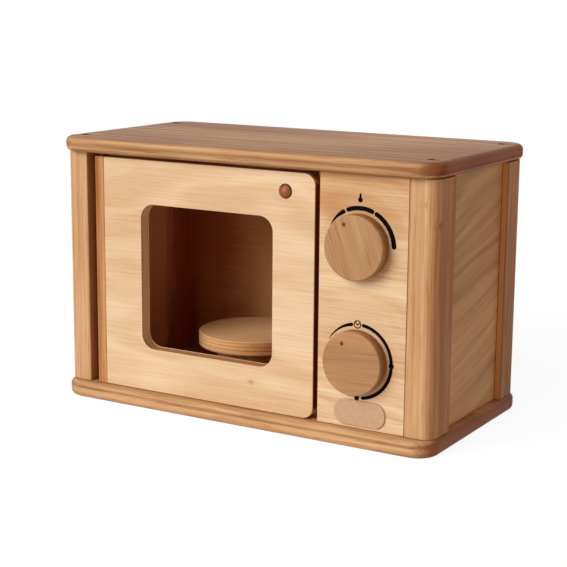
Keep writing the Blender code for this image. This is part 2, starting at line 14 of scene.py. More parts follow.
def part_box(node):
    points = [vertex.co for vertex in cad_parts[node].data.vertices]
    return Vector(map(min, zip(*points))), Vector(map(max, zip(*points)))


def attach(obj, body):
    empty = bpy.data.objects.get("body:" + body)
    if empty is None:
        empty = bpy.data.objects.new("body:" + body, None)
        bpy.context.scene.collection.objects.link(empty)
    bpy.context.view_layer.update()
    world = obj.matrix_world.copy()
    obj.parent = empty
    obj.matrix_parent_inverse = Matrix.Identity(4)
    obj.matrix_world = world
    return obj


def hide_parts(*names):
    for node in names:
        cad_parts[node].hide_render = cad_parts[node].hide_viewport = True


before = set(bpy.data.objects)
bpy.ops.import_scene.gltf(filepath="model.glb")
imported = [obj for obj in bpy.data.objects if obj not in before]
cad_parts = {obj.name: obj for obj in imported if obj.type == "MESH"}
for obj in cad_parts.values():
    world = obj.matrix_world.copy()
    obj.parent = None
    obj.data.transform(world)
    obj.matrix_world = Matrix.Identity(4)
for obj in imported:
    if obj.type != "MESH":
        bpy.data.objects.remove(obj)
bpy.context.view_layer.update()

bl_info = {
    "name": "Toy Microwave Finish",
    "version": (1, 0, 0),
    "blender": (4, 5, 0),
    "location": "View3D > Sidebar > Toy Microwave",
    "description": "Dresses the built toy microwave with wood, print, hardware, light and a camera",
    "category": "Object",
}

X_AXIS, Y_AXIS, Z_AXIS = range(3)
LENGTHWAYS = (1, 0, 0)
DEPTHWAYS = (0, 1, 0)
UPRIGHT = (0, 0, 1)

# The corners of the cabinet, each with its side of X and of Y
CORNERS = {"front_left": (-1, -1), "rear_left": (-1, 1), "front_right": (1, -1), "rear_right": (1, 1)}

# Steps of curves
CORNER_STEPS = 20
EDGE_STEPS = 8
ARRIS_STEPS = 3
CAP_STEPS = 8
TURN_STEPS = 96
SMALL_TURN_STEPS = 48
HEX_SIDES = 6

SMOOTH_ANGLE = math.radians(35)
SAME_PLACE = 1e-7

# How often each pattern repeats in a metre, along the grain and across it
TONE_STRETCH = (4, 18, 18)
WANDER_STRETCH = (5, 13, 13)
STREAK_STRETCH = (7, 190, 190)
FIBRE_STRETCH = (20, 760, 760)
PORE_STRETCH = (38, 1050, 1050)
STEEL_STRETCH = (300, 300, 300)
SCRATCH_STRETCH = (6000, 900, 900)
PAINT_STRETCH = (700, 700, 700)

# How strongly all patterns in wood show, and how much of them is lost on end grain
PATTERN_GAIN = 3.0
END_LOSS = 0.8

# The noise that turns into pores, and how far fibres rise and pores sink in the bump of wood
PORE_LIMITS = (0.56, 0.72)
FIBRE_RISE = 0.6
PORE_DEPTH = 0.7

# The shader's socket for gloss
GLOSS = "Specular IOR Level"

# The strength and the distance of each kind's bump
WOOD_BUMP = (0.16, 0.0002)
STEEL_BUMP = (0.08, 0.00005)
PAINT_BUMP = (0.06, 0.00005)


def screen_colour(red, green, blue):
    """A colour as a screen shows it, each part from 0 to 255, in the linear values that a shader takes."""
    return tuple(Color((red / 255, green / 255, blue / 255)).from_srgb_to_scene_linear())


def colour_setting(name, description, *screen):
    """A colour that a user can change, given as a screen shows it."""
    default = screen_colour(*screen)
    return bpy.props.FloatVectorProperty(
        name=name, description=description, subtype="COLOR", size=3, min=0, max=1, default=default
    )


def length_setting(name, description, default):
    """A length that a user can change, in metres."""
    return bpy.props.FloatProperty(
        name=name, description=description, unit="LENGTH", precision=5, min=0, default=default
    )


def angle_setting(name, description, degrees):
    """An angle that a user can change."""
    default = math.radians(degrees)
    return bpy.props.FloatProperty(name=name, description=description, subtype="ANGLE", default=default)


class MicrowaveColours(bpy.types.PropertyGroup):
    """The two tones of each wood and the other colours, as they look in even light, except that the inside
    and rear post tones, the badge's shadow line and the pin steel hold painted shade.
    """

    ply_light: colour_setting("Front ply, light", "Pale veneer of the door and control panel", 243, 222, 186)
    ply_dark: colour_setting("Front ply, dark", "Streaks in the front veneer", 208, 160, 112)
    board_light: colour_setting("Board, light", "Pale grain of the top and bottom boards", 236, 193, 142)
    board_dark: colour_setting("Board, dark", "Dark grain of the top and bottom boards", 152, 104, 66)
    post_light: colour_setting("Post, light", "Pale grain of the corner posts", 226, 186, 142)
    post_dark: colour_setting("Post, dark", "Dark grain of the corner posts", 186, 136, 90)
    # Painted shade: a darker, redder copy of the post tones for the rear right post, whose seen faces stand
    # in shade
    rear_post_light: colour_setting("Rear post, light", "Pale grain of the right rear post", 228, 168, 110)
    rear_post_dark: colour_setting("Rear post, dark", "Dark grain of the right rear post", 156, 104, 64)
    side_light: colour_setting("Side ply, light", "Pale veneer of the right side", 240, 200, 148)
    side_dark: colour_setting("Side ply, dark", "Stripes in the veneer of the right side", 172, 122, 76)
    # Painted shade: darker, redder copies of the wood tones for faces inside the oven and for outer faces
    # turned away from the light
    inside_light: colour_setting("Inside, light", "Pale grain round the oven's space", 240, 184, 130)
    inside_dark: colour_setting("Inside, dark", "Dark grain round the oven's space", 178, 105, 65)
    stile_light: colour_setting("Stile, light", "Pale grain of the strip the door turns on", 210, 156, 104)
    stile_dark: colour_setting("Stile, dark", "Dark grain of the strip the door turns on", 166, 104, 60)
    knob_light: colour_setting("Knob, light", "Pale grain of the knobs", 206, 166, 122)
    knob_dark: colour_setting("Knob, dark", "Dark grain of the knobs", 158, 110, 70)
    disc_light: colour_setting("Turntable, light", "Pale veneer of the turntable", 250, 208, 152)
    disc_dark: colour_setting("Turntable, dark", "Streaks in the turntable's veneer", 214, 158, 104)
    plug_light: colour_setting("Plug, light", "Pale grain of the reddish plug", 184, 112, 72)
    plug_dark: colour_setting("Plug, dark", "Dark grain of the reddish plug", 112, 54, 28)
    print_ink: colour_setting("Print", "Black ink of the dial scales", 5, 3, 3)
    dot_paint: colour_setting("Dot", "Red paint of the dot on each knob", 130, 50, 27)
    # Painted shadow: a brown line meant to show the shade round the badge plate's edge
    badge_shadow_line: colour_setting("Badge outline", "Brown print behind the badge plate", 122, 78, 54)
    badge: colour_setting("Badge plate", "Pale plate under the lower dial", 196, 160, 128)
    bronzed_steel: colour_setting("Bronzed steel", "Heads of the corner screws", 66, 50, 40)
    # Painted shade: the hinge pins are darkened so that they look shaded in the gaps above and below the door
    shade_darkened_pin_steel: colour_setting("Pin steel", "Dark oiled hinge pins", 120, 80, 56)
    bright_steel: colour_setting("Bright steel", "Magnets and washer", 190, 190, 192)


class MicrowaveSizes(bpy.types.PropertyGroup):
    """Sizes of the edges and small details that the built parts' boxes don't give."""

    fit_gap: length_setting("Fit gap", "Play between neighbouring pieces", 0.0003)
    board_corner: length_setting("Board corner", "Radius of the boards' corners, seen from above", 0.0174)
    board_edge: length_setting("Board edge", "Radius of the boards' rounded edges", 0.0043)
    post_corner: length_setting("Post corner", "Radius of a post's outer corner", 0.009)
    post_arris: length_setting("Post arris", "Easing of a post's other corners", 0.0005)
    door_corner: length_setting("Door corner", "Radius of the door's two free corners", 0.009)
    door_arris: length_setting("Door arris", "Easing of the door's edges", 0.0004)
    window_margin: length_setting("Window margin", "Wood left at each side of the window", 0.0341)
    window_rail: length_setting("Window rail", "Wood left above and below the window", 0.0327)
    window_corner: length_setting("Window corner", "Radius of the window's corners", 0.011)
    stile_edge: length_setting("Stile edge", "Radius of the stile's outer edges", 0.0015)
    knob_edge: length_setting("Knob edge", "Rounding round a knob's face", 0.0013)
    knob_back_edge: length_setting("Knob back edge", "Rounding round a knob's back", 0.0007)
    knob_grip: length_setting("Knob grip", "Depth of a knob's bore", 0.0063)
    disc_edge: length_setting("Turntable edge", "Rounding of the turntable's rim", 0.001)
    disc_bore: length_setting("Turntable bore", "Depth of the turntable's bore", 0.007)
    hub_edge: length_setting("Hub edge", "Rounding of the hub's upper rim", 0.001)
    plug_dome: length_setting("Plug dome", "Rise of the plug's domed face", 0.0014)
    dot_radius: length_setting("Dot radius", "Radius of the red dot on a knob", 0.0015)
    coat: length_setting("Print height", "How far paint and print stand proud of the wood", 0.00006)
    scale_radius: length_setting("Scale radius", "Radius of the printed scales' middle line", 0.0265)
    badge_width: length_setting("Badge width", "Width of the badge plate", 0.041)
    badge_height: length_setting("Badge height", "Height of the badge plate", 0.019)
    badge_thickness: length_setting("Badge thickness", "Thickness of the badge plate", 0.0013)
    badge_edge: length_setting("Badge edge", "Rounding round the badge plate's face", 0.0008)
    socket_radius: length_setting("Socket radius", "Half the width across a screw socket's flats", 0.00125)
    socket_depth: length_setting("Socket depth", "Depth of a screw's socket", 0.0012)


class MicrowaveStage(bpy.types.PropertyGroup):
    """The camera and the light."""

    camera_place: bpy.props.FloatVectorProperty(
        name="Camera place",
        description="Where the camera stands",
        subtype="TRANSLATION",
        default=(0.551200, -0.935957, 0.315546),
    )
    camera_turn: angle_setting("Camera turn", "How far right of straight on the camera stands", 30.758)
    camera_tilt: angle_setting("Camera tilt", "How far down the camera looks", 11.559)
    camera_roll: angle_setting("Camera roll", "Roll of the camera about its line of sight", 0.486)
    lens: bpy.props.FloatProperty(
        name="Lens",
        description="Focal length on a 36 mm wide sensor, in millimetres",
        default=90.806,
        min=1,
    )
    key_strength: bpy.props.FloatProperty(
        name="Key light",
        description="Light from the front left; pi lights a face as bright as its colour",
        default=2.5,
        min=0,
    )
    air: bpy.props.FloatVectorProperty(
        name="Light all round",
        description="Even warm light of the room",
        subtype="COLOR",
        size=3,
        min=0,
        max=1,
        default=(0.27, 0.18, 0.11),
    )


def colours():
    """The colour settings."""
    return bpy.context.scene.microwave_colours


def sizes():
    """The size settings."""
    return bpy.context.scene.microwave_sizes


def stage_settings():
    """The camera and light settings."""
    return bpy.context.scene.microwave_stage


def round_node(node):
    """The two corners of a round built part's box, its middle and its radius."""
    low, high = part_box(node)
    return low, high, (low + high) / 2, (high.x - low.x) / 2


# Faces of the built parts that the print and the marks in the wood are placed from
DOOR_LOW, DOOR_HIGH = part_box("door_panel")
FRONT_Y = DOOR_LOW.y
MIDDLE_Z = (DOOR_LOW.z + DOOR_HIGH.z) / 2
LID_END_X, LID_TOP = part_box("top_board")[1].xz
BASE_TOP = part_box("bottom_board")[1].z
DISC_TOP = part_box("turntable_disc")[1].z
SIDE_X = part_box("side_panel_right")[1].x
LEFT_INSIDE_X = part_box("side_panel_left")[1].x
REAR_INSIDE_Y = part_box("rear_panel")[0].y
LEFT_POST_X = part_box("post_front_left")[1].x
RIGHT_POST_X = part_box("post_rear_right")[1].x
REAR_POST_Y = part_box("post_rear_right")[0].y
KNOB_LOW, KNOB_HIGH, KNOB_MIDDLE, _ = round_node("knob_upper")
PLUG_LOW, _, PLUG_MIDDLE, _ = round_node("door_plug")
# Where a highlight is painted on the plug's dome
PLUG_GLINT = (PLUG_MIDDLE.x - 0.0005, PLUG_LOW.y, PLUG_MIDDLE.z + 0.001)

# How far a face leans along shaded_way where the inside's painted shade tones set in and where they are full
SHADED_WAY_LEAN = (0.2, 0.6)
# Where in the left panel's thickness the inside's painted shade tones set in and are full
SHADED_WAY_FROM_X = (LEFT_INSIDE_X - 0.0030, LEFT_INSIDE_X - 0.0002)


class Graph:
    """The nodes of one material or world, added one after another."""

    # The Mix node's sockets for colours
    MIX_A = 6
    MIX_B = 7
    MIX_RESULT = 2

    def __init__(self, owner):
        owner.use_nodes = True
        self.owner = owner
        self.nodes = owner.node_tree.nodes
        self.links = owner.node_tree.links

    def fill(self, node, inputs):
        """Sets a node's inputs, or links them to other nodes' outputs."""
        for key, value in inputs.items():
            if isinstance(value, bpy.types.NodeSocket):
                self.links.new(value, node.inputs[key])
            else:
                node.inputs[key].default_value = value

    def add(self, kind, inputs=None, output=0, **settings):
        """Adds a shader node and returns one of its outputs."""
        node = self.nodes.new("ShaderNode" + kind)
        for setting, value in settings.items():
            setattr(node, setting, value)
        self.fill(node, inputs or {})
        return node.outputs[output]

    def maths(self, operation, *values, clamp=False):
        """One sum on up to three numbers."""
        return self.add("Math", dict(enumerate(values)), operation=operation, use_clamp=clamp)

    def more(self, base, value, strength):
        """A number with another one added at a strength."""
        return self.maths("MULTIPLY_ADD", value, strength, base)

    def vectors(self, operation, first, second=(0, 0, 0)):
        """One sum on vectors, which gives a number for a length or a dot product."""
        output = int(operation in ("LENGTH", "DOT_PRODUCT"))
        return self.add("VectorMath", {0: first, 1: second}, output, operation=operation)

    def noise(self, place, stretch, detail):
        """Soft noise from 0 to 1 that repeats about as often in a metre as stretch says for each axis."""
        vector = self.vectors("MULTIPLY", place, stretch)
        return self.add("TexNoise", {"Vector": vector, "Scale": 1.0, "Detail": detail})

    def stepped(self, value, start, end, low=0.0, high=1.0):
        """A smooth step from low to high while the value goes from start to end."""
        limits = {"Value": value, "From Min": start, "From Max": end, "To Min": low, "To Max": high}
        return self.add("MapRange", limits, interpolation_type="SMOOTHSTEP")

    def mixed(self, factor, first, second):
        """A mix of two colours."""
        inputs = {0: factor, self.MIX_A: first, self.MIX_B: second}
        return self.add("Mix", inputs, self.MIX_RESULT, data_type="RGBA")

    def ramped(self, value, *stops):
        """A colour that goes from one stop to the next while the value goes from 0 to 1."""
        ramp = self.add("ValToRGB", {0: value})
        elements = ramp.node.color_ramp.elements
        for colour, element in zip((stops[0], stops[-1]), elements):
            element.color = (*colour, 1)
        for index, colour in enumerate(stops[1:-1], 1):
            elements.new(index / (len(stops) - 1)).color = (*colour, 1)
        return ramp

    def surface(self, colour, roughness, height, bump, **fixed):
        """Feeds the surface shader and returns the material; a bump is its strength and its distance."""
        strength, distance = bump
        normal = self.add("Bump", {"Strength": strength, "Distance": distance, "Height": height})
        sockets = {"Base Color": colour, "Roughness": roughness, "Normal": normal}
        self.fill(self.nodes["Principled BSDF"], sockets | fixed)
        return self.owner


class Mark(NamedTuple):
    """A soft spot such as a knot or a blotch, with its reach along each axis and how far its rings swell.

    It is lighter than the wood round it where dark is negative, red-brown near 1.5 and nearly black from 2.5.
    Many marks below are painted shade or painted light.
    """

    centre: tuple
    reach: tuple
    dark: float
    swell: float = 0.0


class Plies(NamedTuple):
    """The layers of plywood below a level face, and how dark every second layer and the glue lines are."""

    face: float
    thickness: float
    contrast: float
    glue: float


class Grain(NamedTuple):
    """How the grain of one wood runs and shows: its direction, lengths in metres and strengths.

    Tones names the colour settings. Flats are (direction, darkness) pairs for the faces that look along a
    direction or straight against it. Faces that look along shaded_way take the darker, redder tones of the
    oven's dim inside as painted shade, fully where that vector is 0.6 or more long and in part where it is
    shorter.
    """

    tones: str
    along: tuple
    heart: tuple
    pitch: float
    figure: float = 0.003
    rings: float = 0.5
    streaks: float = 0.3
    fibres: float = 0.4
    tone: float = 0.4
    pores: float = 0.35
    ends: float = 0.4
    flats: tuple = ()
    roughness: float = 0.5
    gloss: float = 0.14
    marks: tuple = ()
    plies: Plies = None
    shaded_way: tuple = None


def mark_weight(graph, place, mark):
    """How near a place is to a mark, from 1 at its centre down to 0."""
    away = graph.vectors("SUBTRACT", place, mark.centre)
    shares = graph.vectors("DIVIDE", away, mark.reach)
    square = graph.vectors("DOT_PRODUCT", shares, shares)
    return graph.maths("EXPONENT", graph.maths("MULTIPLY", square, -1.0))


def facing_weight(graph, normal, direction):
    """How squarely a face looks along a direction or against it, from 0 to 1."""
    lean = graph.vectors("DOT_PRODUCT", normal, tuple(Vector(direction).normalized()))
    return graph.maths("MULTIPLY", lean, lean)


def ply_shade(graph, place, plies):
    """How dark the layer and the glue line at a place are, from 0 to 1."""
    # Runs every step in order.
    depth = graph.maths("SUBTRACT", plies.face, graph.add("SeparateXYZ", {0: place}, Z_AXIS))
    count = graph.maths("DIVIDE", depth, plies.thickness)
    wave = graph.maths("PINGPONG", graph.maths("ADD", count, 0.5), 1.0)
    crossed = graph.stepped(wave, 0.62, 0.44)
    off_middle = graph.maths("ABSOLUTE", graph.maths("SUBTRACT", graph.maths("FRACT", count), 0.5))
    glue = graph.maths("MULTIPLY", graph.stepped(off_middle, 0.34, 0.44), plies.glue)
    return graph.maths("MULTIPLY_ADD", crossed, plies.contrast, glue, clamp=True)


def wood_colour(graph, shade, tones):
    """The colour for a shade: light at 0, dark at 1, then through red-brown to nearly black at 3. Past 1 it
    serves darker end grain and painted shade; the nearly black end is painted shade in gaps and recesses.
    """
    light = getattr(colours(), tones + "_light")
    dark = getattr(colours(), tones + "_dark")
    ember = (dark[0] * 0.75, dark[1] * 0.43, dark[2] * 0.30)
    # Painted shade: the nearly black end of the ramp, for gaps and recesses
    painted_shade_black = (dark[0] * 0.10, dark[1] * 0.03, dark[2] * 0.02)
    return graph.ramped(graph.maths("DIVIDE", shade, 3.0), light, dark, ember, painted_shade_black)


def wood(name, grain):
    """A lacquered wood whose rings, fibres and pores follow the grain through the solid."""
    graph = Graph(bpy.data.materials.new(name))
    place = graph.add("TexCoord", output="Object")
    normal = graph.add("TexCoord", output="Normal")
    turn = Vector(grain.along).rotation_difference(Vector(LENGTHWAYS)).to_euler()
    turned = graph.add("Mapping", {"Vector": place, "Location": grain.heart, "Rotation": turn})
    wander = graph.noise(turned, WANDER_STRETCH, 2.0)
    tone = graph.noise(turned, TONE_STRETCH, 2.0)
    streak = graph.noise(turned, STREAK_STRETCH, 2.0)
    fibre = graph.noise(turned, FIBRE_STRETCH, 3.0)
    pore = graph.stepped(graph.noise(turned, PORE_STRETCH, 1.0), *PORE_LIMITS)

    off_heart = graph.vectors("MULTIPLY", turned, (0, 1, 1))
    radius = graph.vectors("LENGTH", off_heart)
    radius = graph.more(radius, graph.maths("SUBTRACT", wander, 0.5), grain.figure)
    end = facing_weight(graph, normal, grain.along)
    shade = graph.more(0.5, end, grain.ends)
    for direction, darkness in grain.flats:
        shade = graph.more(shade, facing_weight(graph, normal, direction), darkness)
    for mark in grain.marks:
        weight = mark_weight(graph, place, mark)
        radius = graph.more(radius, weight, mark.swell)
        shade = graph.more(shade, weight, mark.dark)
    count = graph.maths("DIVIDE", radius, grain.pitch)
    rings = graph.add("TexNoise", {"W": count, "Scale": 1.0, "Detail": 2.5}, noise_dimensions="1D")

    lengthways = graph.more(1.0, end, -END_LOSS)
    patterns = (
        (rings, grain.rings, lengthways),
        (tone, grain.tone, 1.0),
        (streak, grain.streaks, lengthways),
        (fibre, grain.fibres, lengthways),
    )
    for pattern, strength, weight in patterns:
        centred = graph.maths("MULTIPLY", graph.maths("SUBTRACT", pattern, 0.5), weight)
        shade = graph.more(shade, centred, PATTERN_GAIN * strength)
    shade = graph.more(shade, pore, grain.pores)
    if grain.plies:
        shade = graph.maths("ADD", shade, ply_shade(graph, place, grain.plies))

    colour = wood_colour(graph, shade, grain.tones)
    # Painted shade: faces along shaded_way take the darker, redder inside tones
    if grain.shaded_way:
        lean = graph.vectors("DOT_PRODUCT", normal, grain.shaded_way)
        indoors = graph.stepped(graph.add("SeparateXYZ", {0: place}, X_AXIS), *SHADED_WAY_FROM_X)
        share = graph.maths("MULTIPLY", graph.stepped(lean, *SHADED_WAY_LEAN), indoors)
        colour = graph.mixed(share, colour, wood_colour(graph, shade, "inside"))
    rough = graph.stepped(fibre, 0.25, 0.75, grain.roughness - 0.05, grain.roughness + 0.07)
    height = graph.more(graph.maths("MULTIPLY", fibre, FIBRE_RISE), pore, -PORE_DEPTH)
    return graph.surface(colour, rough, height, WOOD_BUMP, **{GLOSS: grain.gloss})


def metal(name, colour, roughness):
    """Steel with a faint brushed unevenness."""
    graph = Graph(bpy.data.materials.new(name))
    place = graph.add("TexCoord", output="Object")
    patches = graph.noise(place, STEEL_STRETCH, 3.0)
    dull = tuple(part * 0.8 for part in colour)
    tint = graph.mixed(patches, (*colour, 1), (*dull, 1))
    rough = graph.stepped(patches, 0.3, 0.7, roughness - 0.06, roughness + 0.08)
    scratch = graph.noise(place, SCRATCH_STRETCH, 1.0)
    return graph.surface(tint, rough, scratch, STEEL_BUMP, Metallic=1.0)


def paint(name, colour, roughness, gloss):
    """Ink or paint that lies on wood and lets its fibres show a little."""
    graph = Graph(bpy.data.materials.new(name))
    patches = graph.noise(graph.add("TexCoord", output="Object"), PAINT_STRETCH, 2.0)
    worn = tuple(part * 1.15 + 0.004 for part in colour)
    tint = graph.mixed(graph.stepped(patches, 0.35, 0.75), (*colour, 1), (*worn, 1))
    rough = graph.stepped(patches, 0.3, 0.7, roughness - 0.05, roughness + 0.05)
    return graph.surface(tint, rough, patches, PAINT_BUMP, **{GLOSS: gloss})


# Reaches of marks that run past the ends of what they lie on
WIDE = 9.0
TALL = 0.4


def level_streak(z, thickness, dark, end_reach=None):
    """A mark along a board at one height, or at its right end alone where it is given a reach there."""
    if end_reach:
        return Mark((LID_END_X, 0, z), (end_reach, WIDE, thickness), dark)
    return Mark((0, 0, z), (WIDE, WIDE, thickness), dark)


def upright_streak(x, y, reach_x, reach_y, dark):
    """A mark that runs the whole height of the cabinet."""
    return Mark((x, y, MIDDLE_Z), (reach_x, reach_y, TALL), dark)


def recess_shade_mark(corner):
    """Painted shade in the round recess of a screw in the top board."""
    middle = round_node("top_screw_" + corner)[2]
    return Mark((middle.x, middle.y, LID_TOP - 0.0022), (0.0042, 0.0042, 0.0016), 3.0)


